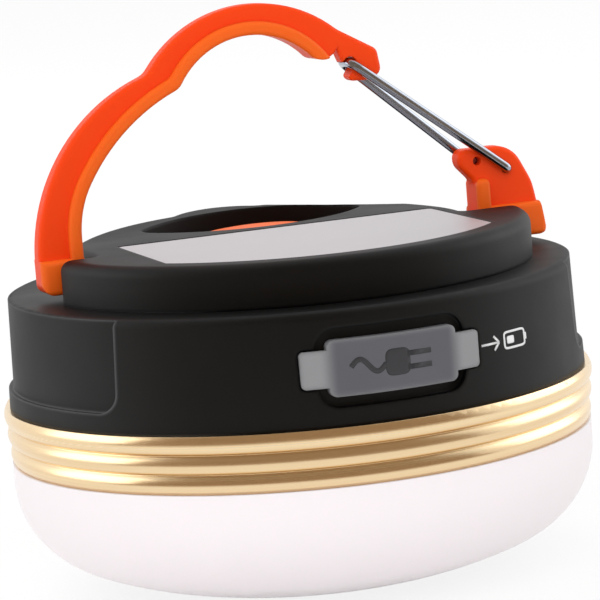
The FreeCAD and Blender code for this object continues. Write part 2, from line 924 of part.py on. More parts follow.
def waist_step(centre, radius, before, after):
    """The small arc of the waist, from the circle before it to the circle after it."""
    start = bearing(centre, before)
    end = bearing(centre, after)
    middle = (
        polar(centre, radius, start)[0] + polar(centre, radius, end)[0] - 2 * centre[0],
        polar(centre, radius, start)[1] + polar(centre, radius, end)[1] - 2 * centre[1],
    )
    length = math.hypot(*middle)
    crest = (centre[0] + middle[0] * radius / length, centre[1] + middle[1] * radius / length)
    return (crest, polar(centre, radius, end))


def right_foot_face():
    """The right foot, with the small lobe that carries the gate's second end."""
    corners = [
        (right_lobe, right_foot_top, lobe_round),
        (right_lobe, right_lobe_low, lobe_under_round),
        (right_foot_inner, right_lobe_low - right_lobe_fall, neck_round),
        (right_foot_inner, -foot_drop, foot_round),
        (right_foot_outer, -foot_drop, right_corner),
        (right_knee[0], right_knee[1], knee_round),
        (right_brow, right_foot_top, brow_round),
    ]
    return rounded(upright, corners)


def foot_block(inner, outer, outline):
    """The thick lower end of a leg, within its outline, with its long and outer edges rounded."""
    half = rib_thickness / 2
    beyond = inner + math.copysign(past, inner - outer)
    corners = [
        (-half, -foot_drop, foot_round),
        (half, -foot_drop, foot_round),
        (half, foot_ridge, foot_round),
        (-half, foot_ridge, foot_round),
    ]

    plan = [
        (outer, -half, foot_front_round),
        (outer, half, foot_rear_round),
        (beyond, half, past / 2),
        (beyond, -half, past / 2),
    ]

    def across(a, b):
        return FreeCAD.Vector(inner, a, z_axle + b)

    bar = rounded(across, corners).extrude(ALONG_X * (outer - inner))
    bar = bar.common(prism(rounded(flat, plan), z_shoulder - foot_drop, z_cap + cap_height))
    return bar.common(slab(outline, rib_thickness))


def hook_turn(angle):
    """A direction in the handle's plane."""
    return FreeCAD.Vector(math.cos(math.radians(angle)), 0, math.sin(math.radians(angle)))


def softened(solid, spared):
    """An upright slab with the edges of both faces rounded, apart from those spared."""
    found = []
    for edge in solid.Edges:
        middle = edge.valueAt((edge.FirstParameter + edge.LastParameter) / 2)
        if edge.BoundBox.YLength < 1e-4 and not spared(middle):
            found.append(edge)
    return solid.makeFillet(handle_edge, found)


def rib_zone():
    """The band along the inner edge of leg, side sweep and crown that the rib fills."""
    depth = rib_thickness + 2 * past
    side = -leg_inner - rib_width
    reach = side_inner_radius + rib_width
    top_turn = math.degrees(math.acos((top_inner_centre[0] - side_inner_centre[0]) / reach))
    steps = [
        ((side, leg_bend[1]),),
        arc_step(leg_bend, leg_round + rib_width, 180, leg_turn),
        arc_step(side_inner_centre, reach, leg_turn, top_turn),
        ((top_inner_centre[0], 0),),
    ]
    base = upright(*top_inner_centre) - ALONG_Y * depth / 2
    crown = Part.makeCylinder(top_inner_radius + rib_width, depth, base, ALONG_Y)
    whole = united([slab(chain(upright, (side, 0), steps), depth), crown])
    left = top_inner_centre[0] - top_inner_radius / 2
    waist = []
    for edge in whole.Edges:
        box = edge.BoundBox
        if box.XLength < 1e-4 and box.ZLength < 1e-4 and box.XMin < left and box.ZMin > base.z:
            waist.append(edge)
    return whole.makeFillet(rib_waist_round, waist)


def make_handle():
    zone = rib_zone()
    rib_tip = upright(*rib_end)

    def under_rib(point):
        return point.z < z_axle - foot_drop + lap or zone.isInside(point, 1e-3, True)

    def rib_ends(point):
        across = FreeCAD.Vector(point.x - rib_tip.x, 0, point.z - rib_tip.z).Length
        return across < rib_width or point.z < z_axle + lap

    def nowhere(point):
        return False

    arch = softened(slab(arch_face(), web_thickness), under_rib)
    foot = softened(slab(right_foot_face(), web_thickness), nowhere)
    rib = softened(slab(arch_face(), rib_thickness).common(zone), rib_ends)
    rib_side = right_foot_inner + right_rib_width
    corners = [
        (right_foot_inner, right_rib_top, right_rib_round),
        (right_foot_inner, 0, foot_round),
        (rib_side, 0, foot_round),
        (rib_side, right_rib_top, right_rib_round),
    ]
    right_rib = softened(slab(rounded(upright, corners), rib_thickness), nowhere)
    left_block = foot_block(-leg_inner, leg_outer, arch_face())
    right_block = foot_block(right_foot_inner, right_foot_outer, right_foot_face())
    axle = rod(
        axle_radius,
        FreeCAD.Vector(-leg_inner - past, 0, z_axle),
        FreeCAD.Vector(right_foot_inner + past, 0, z_axle),
    )
    whole = united([arch, foot, rib, right_rib, left_block, right_block, axle])
    return whole.cut(gate_cuts()).cut(heel_cut())


def heel_cut():
    """What the rounded outer heel of the left foot takes off."""
    heel = upright(leg_outer + foot_corner, foot_corner - foot_drop)
    square = block(leg_outer - past, heel.x, -big, big, z_axle - foot_drop - past, heel.z)
    return square.cut(Part.makeCylinder(foot_corner, 2 * big, heel - ALONG_Y * big, ALONG_Y))


def gate_cuts():
    """The gate's bore, the curved slot of its second end, a blind dot, and the nose's notch."""
    face = web_thickness / 2
    hinge = upright(*gate_hinge)
    second = upright(*gate_second)
    blind = ALONG_Y * (gate_stub + wire_gap - face)
    bore = rod(wire_radius + wire_fit, hinge - ALONG_Y * big, hinge + blind)
    arm = math.dist(gate_hinge, gate_second)
    start = bearing(gate_hinge, gate_second)
    width = wire_radius + slot_clear
    floor = face - gate_stub - wire_gap
    ring = Part.makeCylinder(arm + width, big, hinge + ALONG_Y * floor, ALONG_Y)
    ring = ring.cut(Part.makeCylinder(arm - width, big, hinge + ALONG_Y * floor, ALONG_Y))
    corners = [gate_hinge]
    for share in (0.0, 0.5, 1.0):
        corners.append(polar(gate_hinge, 3 * arm, start + share * gate_open_deg))
    wedge = Part.Face(Part.makePolygon([upright(*c) for c in corners + corners[:1]]))
    slot = ring.common(wedge.extrude(ALONG_Y * big))
    ends = [start, start + gate_open_deg]
    for angle in ends:
        point = upright(*polar(gate_hinge, arm, angle))
        slot = slot.fuse(Part.makeCylinder(width, big, point + ALONG_Y * floor, ALONG_Y))
    dot = rod(dot_diameter / 2, second - ALONG_Y * big, second - ALONG_Y * (face - dot_depth))
    way = bearing(gate_hinge, gate_nose) + 90
    reach = wire_radius + nose_slot_clear
    along = hook_turn(way)
    aside = hook_turn(way + 90)
    seat = upright(*gate_nose) + aside * nose_slot_shift
    near = seat - aside * reach
    far = seat + aside * reach
    run = along * nose_slot_run
    notch = Part.Face(Part.makePolygon([near, near + run, far + run, far, near]))
    notch = slab(notch, big).fuse(rod(reach, seat - ALONG_Y * big, seat + ALONG_Y * big))
    return united([bore]).fuse([slot, dot, notch])


def make_gate():
    hinge = upright(*gate_hinge)
    second = upright(*gate_second)
    nose = upright(*gate_nose)
    front = ALONG_Y * -leg_plane
    back = ALONG_Y * leg_plane
    tip = ALONG_Y * (web_thickness / 2 - gate_stub)
    sharp = wire_radius + wire_gap / 2
    front_half = (hinge + nose) * 0.5 + front
    back_half = (second + nose) * 0.5 + back
    first = tube([hinge - tip, hinge + front, front_half], wire_radius, sharp)
    middle = tube([front_half, nose + front, nose + back, back_half], wire_radius, gate_turn)
    last = tube([back_half, second + back, second + tip], wire_radius, sharp)
    return united([first, middle, last])


def make_button():
    z_floor = z_cap - tub_depth - tub_wall
    z_top = z_cap - button_sink
    corners = oblong(button_width, button_length, button_length / 2)
    body = prism(rounded(flat, shifted(corners, 0, tub_centre)), z_floor - wire_gap, z_top)
    crown_radius = ((button_width / 2) ** 2 + button_crown ** 2) / (2 * button_crown)
    low = FreeCAD.Vector(0, -big, z_top - crown_radius)
    body = body.common(rod(crown_radius, low, low + ALONG_Y * (2 * big)))
    rim = [edge for edge in body.Edges if edge.BoundBox.ZMin > z_top - button_crown - lap]
    body = body.makeFillet(button_round, rim)
    grown = oblong(button_width, button_length, button_length / 2, button_flange)
    z_flange = z_floor - wire_gap - flange_thickness
    flange = prism(rounded(flat, shifted(grown, 0, tub_centre)), z_flange, z_floor - wire_gap)
    stem = post(plunger_diameter / 2, 0, tub_centre, z_plunger_top(), z_flange + lap)
    return united([body, flange, stem])


def z_plunger_top():
    """Top of the switch's plunger, which the button's stem rests on."""
    return z_board_top + switch_height + plunger_rise


def make_switch():
    half = switch_size / 2
    z_top = z_board_top + switch_height
    body = block(-half, half, tub_centre - half, tub_centre + half, z_board_top, z_top)
    z_bore = z_top - button_travel - plunger_rise - plunger_spare
    bore = post(plunger_diameter / 2 + plunger_fit, 0, tub_centre, z_bore, z_cap)
    plunger = post(plunger_diameter / 2, 0, tub_centre, z_top - plunger_rise, z_plunger_top())
    return body.cut(bore), plunger


def cover_solid(width, height):
    """A soft port cover: a body in the recess, two end tabs, and a plug for the socket."""
    radius = skin_radius(z_port) + cover_proud
    skin = Part.makeCylinder(radius, z_cap)

    def shell(corners, floor):
        tool = rounded(facing, corners).extrude(ALONG_Y * -ring_diameter)
        return tool.common(skin.cut(Part.makeCylinder(floor, z_cap)))

    floor = port_floor_radius() + cover_gap / 2
    body = shell(oblong(cover_width, cover_height, cover_corner), floor)
    tabs = shell(oblong(tab_span, tab_height, tab_corner), tab_floor_radius() + cover_gap)
    plug = rounded(facing, oblong(width, height, height / 4, -plug_inset))
    plug = plug.extrude(ALONG_Y * -ring_diameter)
    plug = plug.common(Part.makeCylinder(floor + lap, z_cap))
    deep = -port_floor_radius() + plug_depth
    plug = plug.common(block(-big, big, -big, deep, 0, z_cap))
    return united([body, tabs, plug])


def mouth_radius():
    """How far from the axis the sockets' mouths are, clear of the covers' plugs."""
    return port_floor_radius() - plug_depth - socket_setback


def socket_solid(width, height, depth):
    """A metal-shelled socket with a tongue, its mouth just inside the housing's wall."""
    mouth = -mouth_radius()
    outer = rounded(facing, oblong(width, height, height / 4)).extrude(ALONG_Y * depth)
    outer.translate(ALONG_Y * mouth)
    inner = rounded(facing, oblong(width, height, height / 4, -socket_wall)).extrude(ALONG_Y * depth)
    inner.translate(ALONG_Y * (mouth - socket_wall))
    thick = height * tongue_share
    half = width / 2 - tongue_margin
    y_front = mouth + tongue_setback
    y_back = mouth + depth
    z_top = z_port + height / 2
    tongue = block(-half, half, y_front, y_back - socket_wall / 2, z_port - thick / 2, z_port + thick / 2)
    solids = [outer.cut(inner), tongue]
    if z_board > z_top + socket_wall:
        solids.append(block(-half, half, -board_length / 2, y_back, z_top - socket_wall / 2, z_board))
    return united(solids)


def make_board():
    plate = rounded(flat, oblong(board_width, board_length, board_corner))
    plate = prism(plate, z_board, z_board_top)
    plate = plate.common(Part.makeCylinder(inner_radius - chassis_gap, z_cap))
    for x, y in board_screws_at():
        plate = plate.cut(post(screw_shank / 2 + screw_hole_gap, x, y, z_board - past, z_board_top + past))
    return plate


def make_board_parts():
    """Charge controller, inductor, capacitor and driver under the board."""
    parts = []
    y_input = input_depth - mouth_radius()
    y_output = mouth_radius() - output_depth
    for x0, x1, near, far, height in input_chips:
        parts.append(block(x0, x1, y_input + near, y_input + far, z_board - height, z_board))
    for x0, x1, near, far, height in output_chips:
        parts.append(block(x0, x1, y_output - far, y_output - near, z_board - height, z_board))
    x, y = beside(capacitor_place, (0, y_input))
    parts.append(post(capacitor_radius, x, y, z_board - capacitor_height, z_board))
    return parts


def make_cell():
    start = FreeCAD.Vector(-cell_length / 2, 0, z_cell)
    tip = start + ALONG_X * (cell_length - cell_cap_height)
    can = rod(cell_diameter / 2, start, tip)
    can = can.makeFillet(cell_round, [e for e in can.Edges if e.Curve.TypeId == "Part::GeomCircle"])
    return united([can, rod(cell_cap / 2, tip - ALONG_X * lap, tip + ALONG_X * cell_cap_height)])


def make_tabs():
    half = tab_plate_width / 2
    tabs = []
    for x in (-cell_length / 2 - tab_plate, cell_length / 2):
        tabs.append(block(x, x + tab_plate, -half, half, z_cell - half, z_cell + half))
    return tabs


def make_cradle():
    body = block(
        -cradle_length / 2, cradle_length / 2, -cradle_width / 2, cradle_width / 2,
        z_chassis, z_chassis + cradle_height,
    )
    body = body.makeFillet(cradle_corner, upright_edges(body, [(0, 0)], big))
    start = FreeCAD.Vector(-big, 0, z_cell)
    return body.cut(rod(cell_diameter / 2 + cradle_gap, start, FreeCAD.Vector(big, 0, z_cell)))


def make_chassis():
    plate = Part.makeCylinder(
        inner_radius - chassis_gap, chassis_thickness, FreeCAD.Vector(0, 0, z_chassis - chassis_thickness)
    )
    low = z_chassis - chassis_thickness - past
    for x, y in post_places():
        plate = plate.cut(post(screw_shank / 2 + screw_hole_gap, x, y, low, z_chassis + past))
    for x, y in led_screws_at():
        plate = plate.cut(post(pilot_radius, x, y, low, z_chassis - led_screw_skin / 2))
    for x, y in lead_ends():
        plate = plate.cut(post(lead_diameter / 2 + lead_hole_gap, x, y, low, z_chassis + past))
    return plate


def led_screws_at():
    """The three screws of the LED board."""
    return [polar((0, 0), led_screw_circle, 90 + 120 * n) for n in range(3)]


def lead_ends():
    """Where the two leads of the LED board pass through the chassis plate."""
    return [(side * lead_pitch / 2, cradle_width / 2 + lead_offset) for side in (-1, 1)]


def make_led_board():
    z_low = z_chassis - chassis_thickness - led_board_thickness
    plate = Part.makeCylinder(led_board_radius, led_board_thickness, FreeCAD.Vector(0, 0, z_low))
    for x, y in led_screws_at():
        plate = plate.cut(post(screw_shank / 2 + screw_hole_gap, x, y, z_low - past, z_chassis))
    return plate, z_low


def make_leds(z_low):
    leds = []
    half = led_size / 2
    for n in range(led_count):
        led = block(led_circle - half, led_circle + half, -half, half, z_low - led_height, z_low)
        led.rotate(FreeCAD.Vector(), UP, 360.0 * n / led_count)
        leds.append(led)
    return leds


def make_leads():
    radius = lead_diameter / 2
    z_lead = z_cell + lead_rise
    y_in = -board_screw_y / 2
    leads = []
    for side in (-1, 1):
        x_end = side * (cell_length / 2 + tab_plate)
        x_out = x_end + side * lead_reach
        x_in = side * (board_width / 2 - lead_margin)
        points = [
            FreeCAD.Vector(x_end, 0, z_lead),
            FreeCAD.Vector(x_out, 0, z_lead),
            FreeCAD.Vector(x_out, y_in, z_lead),
            FreeCAD.Vector(x_in, y_in, z_lead),
            FreeCAD.Vector(x_in, y_in, z_board),
        ]
        leads.append(tube(points, radius, lead_bend))
    z_low = z_chassis - chassis_thickness
    pair = [post(radius, x, y, z_low, z_board) for x, y in lead_ends()]
    return leads, pair


def make_screws():
    z_under = z_chassis - chassis_thickness
    z_led = z_under - led_board_thickness
    board_length_in = z_deck + board_bite() - screw_spare - z_board
    led_length = led_board_thickness + chassis_thickness - led_screw_skin
    chassis = [screw(x, y, z_under, chassis_thickness + screw_bite) for x, y in post_places()]
    cap = [screw(x, y, z_deck, deck_thickness + screw_bite / 2) for x, y in cap_screws_at()]
    board = [screw(x, y, z_board, board_length_in) for x, y in board_screws_at()]
    led = [screw(x, y, z_led, led_length) for x, y in led_screws_at()]
    return chassis, cap, board, led


os.makedirs("parts", exist_ok=True)
save("diffuser_dome", make_dome())
save("trim_ring", make_ring())
save("dome_gasket", make_gasket())
save("body_housing", make_housing())
save("end_cap", make_cap())
save("axle_clamps", *make_clamps())
save("label_plate", make_label())
save("magnets", *make_magnets())
save("handle", make_handle())
save("gate_wire", make_gate())
save("power_button", make_button())
switch_body, switch_plunger = make_switch()
save("switch_body", switch_body)
save("switch_plunger", switch_plunger)
save("input_cover", cover_solid(input_width, input_height))
save("output_cover", half_turn(cover_solid(output_width, output_height)))
save("input_socket", socket_solid(input_width, input_height, input_depth))
save("output_socket", half_turn(socket_solid(output_width, output_height, output_depth)))
save("main_board", make_board())
save("board_parts", *make_board_parts())
save("battery_cell", make_cell())
save("battery_tabs", *make_tabs())
save("battery_cradle", make_cradle())
save("chassis_plate", make_chassis())
led_board, z_led = make_led_board()
save("led_board", led_board)
save("led_chips", *make_leds(z_led))
cell_leads, led_pair = make_leads()
save("lead_positive", cell_leads[1])
save("lead_negative", cell_leads[0])
save("led_leads", *led_pair)
chassis_screws, cap_screws, board_screws, led_screws = make_screws()
save("chassis_screws", *chassis_screws)
save("cap_screws", *cap_screws)
save("board_screws", *board_screws)
save("led_board_screws", *led_screws)
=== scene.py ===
"""Camping lantern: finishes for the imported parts, pictograms, socket contacts and a studio stage."""

import json
import math

import bmesh
import bpy
import numpy as np
from bpy.props import FloatProperty, FloatVectorProperty, PointerProperty
from mathutils import Matrix, Vector


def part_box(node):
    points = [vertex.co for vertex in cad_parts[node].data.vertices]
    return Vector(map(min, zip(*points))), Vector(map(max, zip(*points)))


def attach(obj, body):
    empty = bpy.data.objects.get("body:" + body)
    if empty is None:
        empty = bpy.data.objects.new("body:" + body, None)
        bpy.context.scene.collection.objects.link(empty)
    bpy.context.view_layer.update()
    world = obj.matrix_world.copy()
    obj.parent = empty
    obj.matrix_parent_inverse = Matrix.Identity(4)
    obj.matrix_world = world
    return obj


bl_info = {
    "name": "Camping lantern",
    "version": (1, 0, 0),
    "blender": (4, 5, 0),
    "location": "View3D > Sidebar > Lantern",
    "description": "Finishes, pictograms, socket contacts and a studio stage for the packed lantern",
    "category": "Object",
}

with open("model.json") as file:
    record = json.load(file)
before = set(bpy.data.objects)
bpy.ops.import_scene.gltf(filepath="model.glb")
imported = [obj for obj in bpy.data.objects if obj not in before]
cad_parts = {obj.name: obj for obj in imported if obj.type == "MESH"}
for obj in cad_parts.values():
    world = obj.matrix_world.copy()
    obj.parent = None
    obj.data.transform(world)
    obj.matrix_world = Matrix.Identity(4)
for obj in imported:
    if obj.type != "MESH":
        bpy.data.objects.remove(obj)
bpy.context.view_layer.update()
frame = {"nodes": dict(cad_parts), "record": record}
MM = 0.001

# Points on each grid
STROKE_RING = 12
PILLOW_ROWS, PILLOW_COLUMNS = 15, 32
CORD_POINTS = 40
OUTLINE_POINTS = 64
FLOOR_RINGS, FLOOR_SPOKES = 12, 64
CARD_ROWS, CARD_COLUMNS = 12, 32

WHITE = (1.0, 1.0, 1.0, 1.0)

# Colour sockets of the Mix node, which it has beside those for numbers
MIX_FIRST, MIX_SECOND, MIX_RESULT = 6, 7, 2

# Radius of the rounding that the shading gives to plain mouldings and metals
MOULDED_EDGE = 0.3 * MM
TOOLED_EDGE = 0.2 * MM


def screen(red, green, blue):
    """Linear colour of an 8-bit screen colour c: ((c + 0.055) / 1.055) ^ 2.4."""
    shares = (np.array((red, green, blue)) / 255.0 + 0.055) / 1.055
    return tuple(float(share) for share in shares ** 2.4)


def colour(name, description, default):
    """A colour property with a linear default."""
    return FloatVectorProperty(
        name=name, description=description, default=default, size=3, min=0.0, max=1.0, subtype="COLOR"
    )


def length(name, description, millimetres):
    """A length property whose default is given in millimetres."""
    return FloatProperty(
        name=name,
        description=description,
        default=millimetres * MM,
        min=0.0,
        subtype="DISTANCE",
        unit="LENGTH",
    )


def turn(name, description, degrees):
    """An angle property whose default is given in degrees."""
    return FloatProperty(
        name=name, description=description, default=math.radians(degrees), subtype="ANGLE", unit="ROTATION"
    )


def spot(name, description, metres):
    """A place property in metres."""
    return FloatVectorProperty(
        name=name, description=description, default=metres, size=3, subtype="TRANSLATION", unit="LENGTH"
    )


def amount(name, description, default):
    """A plain number from zero up."""
    return FloatProperty(name=name, description=description, default=default, min=0.0)


def share_of_one(name, description, default):
    """A share from zero to one."""
    return FloatProperty(
        name=name, description=description, default=default, min=0.0, max=1.0, subtype="FACTOR"
    )


class LanternColours(bpy.types.PropertyGroup):
    """Colours of the finishes that show."""

    body_black: colour("Body black", "Soft-touch housing and end cap", (0.0030, 0.0031, 0.0033))
    # Painted highlight: the paler colour the housing's edges get towards the two sides, where light catches
    # them
    body_edge_highlight: colour("Body edge", "Polished edges of the housing and end cap", (0.085, 0.086, 0.088))
    ring_gold: colour("Ring gold", "Lighter streaks of the trim ring", (0.91, 0.71, 0.44))
    ring_bronze: colour("Ring bronze", "Darker streaks of the trim ring", (0.83, 0.61, 0.36))
    dome_white: colour("Dome white", "Milky diffuser", (0.97, 0.90, 0.918))
    handle_orange: colour("Handle orange", "Handle, rib and push button", (0.95, 0.138, 0.010))
    # Painted shade: the thin web's deeper red stands in for the shade in its recess between rib and edge
    web_shade_red: colour("Handle red", "Thin web of the handle, which looks deeper", (0.94, 0.060, 0.002))
    wire_grey: colour("Wire grey", "Spring wire of the gate", (0.37, 0.40, 0.46))
    plate_silver: colour("Plate silver", "Label plate on the end cap", screen(196, 193, 196))
    cover_grey: colour("Cover grey", "Silicone covers of the ports", screen(92, 92, 98))
    # Painted light: a highlight on the covers' rounded edges and light shining through their thin end tabs
    cover_painted_light: colour("Cover pale", "Thin edges and end tabs of the covers", screen(142, 142, 144))
    mark_dark: colour("Dark mark", "Pictogram on the port covers", screen(52, 52, 56))
    mark_white: colour("White mark", "Pictogram beside each port", screen(236, 236, 236))


class LanternMarks(bpy.types.PropertyGroup):
    """Sizes of the pictograms and the socket contacts."""

    cover_stroke: length("Cover stroke", "Line width of the pictogram on the covers", 0.75)
    body_stroke: length("Body stroke", "Line width of the pictogram on the housing", 0.34)
    proud: length("Proud", "Height of the pictograms above their wall", 0.05)
    body_angle: turn("Body angle", "Turn from the middle of a port to the pictogram beside it", 25.3)
    wall_draft: amount("Wall draft", "How much the housing narrows for each unit of height", 0.0401)
    cover_proud: length("Cover proud", "How far the covers stand out of the housing", 0.45)
    input_tongue: length("Input tongue", "Thickness of the tongue in the charging socket", 1.19)
    output_tongue: length("Output tongue", "Thickness of the tongue in the supply socket", 2.05)
    tongue_margin: length("Tongue margin", "Room beside the tongues in their sockets", 1.2)
    tongue_setback: length("Tongue setback", "From a socket's mouth to its tongue", 0.8)
    tongue_reach: length("Tongue reach", "Length of the dark sleeve on a tongue", 4.8)
    sleeve: length("Sleeve", "Thickness of the dark sleeve on a tongue", 0.02)
    contact_proud: length("Contact proud", "Height of the contact strips above the tongue", 0.05)
    contact_inset: length("Contact inset", "From a tongue's tip to its contact strips", 0.5)


class LanternStage(bpy.types.PropertyGroup):
    """Camera, floor and light."""

    distance: length("Camera distance", "From the camera to the point it aims at", 500.0)
    azimuth: turn("Azimuth", "Camera's turn round the lantern", -18.7)
    elevation: turn("Elevation", "Camera's height angle", 8.294)
    roll: turn("Roll", "Camera's turn about its own line of sight", -4.734)
    lens: FloatProperty(name="Lens", description="Focal length in millimetres", default=200.9, min=1.0)
    sensor: FloatProperty(name="Sensor", description="Sensor's width in millimetres", default=36.0, min=1.0)
    aim_height: length("Aim height", "Height of the point the camera aims at", 40.92)
    aim_side: length("Aim side", "How far right of the axis the camera aims", 1.41)
    floor_radius: length("Floor radius", "Reach of the pale floor", 4000.0)
    floor_drop: length("Floor drop", "How far the floor lies under the dome's flat", 0.05)
    floor_white: colour("Floor white", "Pale floor, before the lift", (0.94, 0.94, 0.94))
    floor_lift: share_of_one("Floor lift", "Share of plain white in what the camera sees of the floor", 0.85)
    card_brown: colour("Card brown", "Curved card in front, which only mirrors show", (0.35, 0.26, 0.18))
    card_near: length("Card near", "From the axis to the card's near edge on the floor", 140.0)
    card_radius: length("Card radius", "From the axis to the card's foot", 1600.0)
    card_height: length("Card height", "Height that the card's arc tends to", 2400.0)
    card_lift: length("Card lift", "Height of the card's flat part above the dome's flat", 3.0)
    card_rise: turn("Card rise", "How far the card goes up its arc", 80.0)
    card_spread: turn("Card spread", "Turn of the card to each side", 70.0)
    sky_light: amount("Sky light", "Strength of the even light", 0.86)
    lamp_aim: length("Lamp aim", "Height of the point that the lamps face", 40.0)
    lamp_size: length("Lamp size", "Side of the front and rear lamps", 700.0)
    key_place: spot("Key place", "Middle of the front lamp", (-0.35, -0.85, 0.9))
    key_watts: amount("Key", "Power of the front lamp in watts", 3.0)
    rear_place: spot("Rear place", "Middle of the rear lamp", (-0.15, 0.85, 0.8))
    rear_watts: amount("Rear", "Power of the rear lamp in watts", 3.0)
    box_size: length("Box size", "Side of the side boxes", 900.0)
    left_place: spot("Left place", "Middle of the left side box", (-1.05, 0.35, 0.3))
    right_place: spot("Right place", "Middle of the right side box", (1.1, 0.05, 0.3))
    side_watts: amount("Sides", "Power of each side box, which only mirrors show, in watts", 3.7)


# Shader building


def put(tree, kind, values=None, **settings):
    """Add a node, set its properties, then the values of its sockets."""
    node = tree.nodes.new(kind)
    for key, setting in settings.items():
        setattr(node, key, setting)
    for socket, value in (values or {}).items():
        node.inputs[socket].default_value = value
    return node


def new_group(name, inputs, outputs):
    """An empty shader group with named float inputs and typed outputs."""
    group = bpy.data.node_groups.new(name, "ShaderNodeTree")
    for label, default in inputs.items():
        socket = group.interface.new_socket(name=label, in_out="INPUT", socket_type="NodeSocketFloat")
        socket.default_value = default
    for label, kind in outputs.items():
        group.interface.new_socket(name=label, in_out="OUTPUT", socket_type=kind)
    return group, put(group, "NodeGroupInput"), put(group, "NodeGroupOutput")


def soft_edges_group():
    """Rounds sharp edges in the shading; Edge is Gain * (1 - dot of the rounded and the true normal)."""
    group, given, made = new_group(
        "Soft edges",
        {"Radius": 0.0004, "Gain": 4.0},
        {"Normal": "NodeSocketVector", "Edge": "NodeSocketFloat"},
    )
    bevel = put(group, "ShaderNodeBevel", samples=8)
    true = put(group, "ShaderNodeNewGeometry")
    dot = put(group, "ShaderNodeVectorMath", operation="DOT_PRODUCT")
    rest = put(group, "ShaderNodeMath", {0: 1.0}, operation="SUBTRACT")
    gain = put(group, "ShaderNodeMath", operation="MULTIPLY", use_clamp=True)
    group.links.new(given.outputs["Radius"], bevel.inputs["Radius"])
    group.links.new(bevel.outputs["Normal"], dot.inputs[0])
    group.links.new(true.outputs["Normal"], dot.inputs[1])
    group.links.new(dot.outputs["Value"], rest.inputs[1])
    group.links.new(rest.outputs["Value"], gain.inputs[0])
    group.links.new(given.outputs["Gain"], gain.inputs[1])
    group.links.new(bevel.outputs["Normal"], made.inputs["Normal"])
    group.links.new(gain.outputs["Value"], made.inputs["Edge"])
    return group


def moulded_grain_group():
    """Fine pits of a moulding tool, and broad blotches of handling, both from noise on the part itself."""
    group, given, made = new_group(
        "Moulded grain",
        {"Pits": 6000.0, "Blotches": 70.0},
        {"Height": "NodeSocketFloat", "Blotch": "NodeSocketFloat"},
    )
    place = put(group, "ShaderNodeTexCoord")
    for source, target, detail in (("Pits", "Height", 2.0), ("Blotches", "Blotch", 4.0)):
        noise = put(group, "ShaderNodeTexNoise", {"Detail": detail, "Roughness": 0.55})
        group.links.new(place.outputs["Object"], noise.inputs["Vector"])
        group.links.new(given.outputs[source], noise.inputs["Scale"])
        group.links.new(noise.outputs["Fac"], made.inputs[target])
    return group


def tool_lines_group():
    """Lines left by a tool: noise on coordinates that are drawn out along one direction."""
    group, given, made = new_group(
        "Tool lines",
        {"Along X": 40.0, "Along Y": 40.0, "Along Z": 9000.0},
        {"Height": "NodeSocketFloat", "Streak": "NodeSocketFloat"},
    )
    place = put(group, "ShaderNodeTexCoord")
    stretch = put(group, "ShaderNodeCombineXYZ")
    drawn = put(group, "ShaderNodeVectorMath", operation="MULTIPLY")
    for axis in "XYZ":
        group.links.new(given.outputs["Along " + axis], stretch.inputs[axis])
    group.links.new(place.outputs["Object"], drawn.inputs[0])
    group.links.new(stretch.outputs["Vector"], drawn.inputs[1])
    for target, scale, detail in (("Height", 1.0, 3.0), ("Streak", 0.23, 2.0)):
        noise = put(group, "ShaderNodeTexNoise", {"Scale": scale, "Detail": detail})
        group.links.new(drawn.outputs["Vector"], noise.inputs["Vector"])
        group.links.new(noise.outputs["Fac"], made.inputs[target])
    return group


def near_plane_group():
    """One where abs(X * Toward X + Y * Toward Y) is less than Half, falling to zero over Border."""
    group, given, made = new_group(
        "Near plane",
        {"Toward X": 0.0, "Toward Y": 1.0, "Half": 0.0017, "Border": 0.0002},
        {"Mask": "NodeSocketFloat"},
    )
    place = put(group, "ShaderNodeTexCoord")
    way = put(group, "ShaderNodeCombineXYZ")
    dot = put(group, "ShaderNodeVectorMath", operation="DOT_PRODUCT")
    away = put(group, "ShaderNodeMath", operation="ABSOLUTE")
    outer = put(group, "ShaderNodeMath", operation="ADD")
    ramp = put(group, "ShaderNodeMapRange", {"To Min": 1.0, "To Max": 0.0}, interpolation_type="SMOOTHSTEP")
    for axis in "XY":
        group.links.new(given.outputs["Toward " + axis], way.inputs[axis])
    group.links.new(place.outputs["Object"], dot.inputs[0])
    group.links.new(way.outputs["Vector"], dot.inputs[1])
    group.links.new(dot.outputs["Value"], away.inputs[0])
    group.links.new(given.outputs["Half"], outer.inputs[0])
    group.links.new(given.outputs["Border"], outer.inputs[1])
    group.links.new(away.outputs["Value"], ramp.inputs["Value"])
    group.links.new(given.outputs["Half"], ramp.inputs["From Min"])
    group.links.new(outer.outputs["Value"], ramp.inputs["From Max"])
    group.links.new(ramp.outputs["Result"], made.inputs["Mask"])
    return group


EFFECTS = {}


def effect(tree, name, **values):
    """Place a shared effect in a material with its own values; words in a key are joined by underscores."""
    makers = {
        "Soft edges": soft_edges_group,
        "Moulded grain": moulded_grain_group,
        "Tool lines": tool_lines_group,
        "Near plane": near_plane_group,
    }
    if name not in EFFECTS:
        EFFECTS[name] = makers[name]()
    node = put(tree, "ShaderNodeGroup", node_tree=EFFECTS[name])
    for key, value in values.items():
        node.inputs[key.replace("_", " ")].default_value = value
    return node


def surface(name, constants):
    """A material with one Principled shader, whose plain numbers and colours sit on its own sockets."""
    material = bpy.data.materials.new(name)
    material.use_nodes = True
    shader = material.node_tree.nodes["Principled BSDF"]
    for socket, value in constants.items():
        shader.inputs[socket].default_value = value
    return material, material.node_tree, shader


def blend_colours(tree, mask, low, high):
    """A mix of two colours, or of a colour and an earlier mix, by a mask."""
    mix = put(tree, "ShaderNodeMix", data_type="RGBA")
    tree.links.new(mask, mix.inputs["Factor"])
    for socket, tone in ((mix.inputs[MIX_FIRST], low), (mix.inputs[MIX_SECOND], high)):
        if isinstance(tone, bpy.types.NodeSocket):
            tree.links.new(tone, socket)
        else:
            socket.default_value = (*tone, 1.0)
    return mix.outputs[MIX_RESULT]


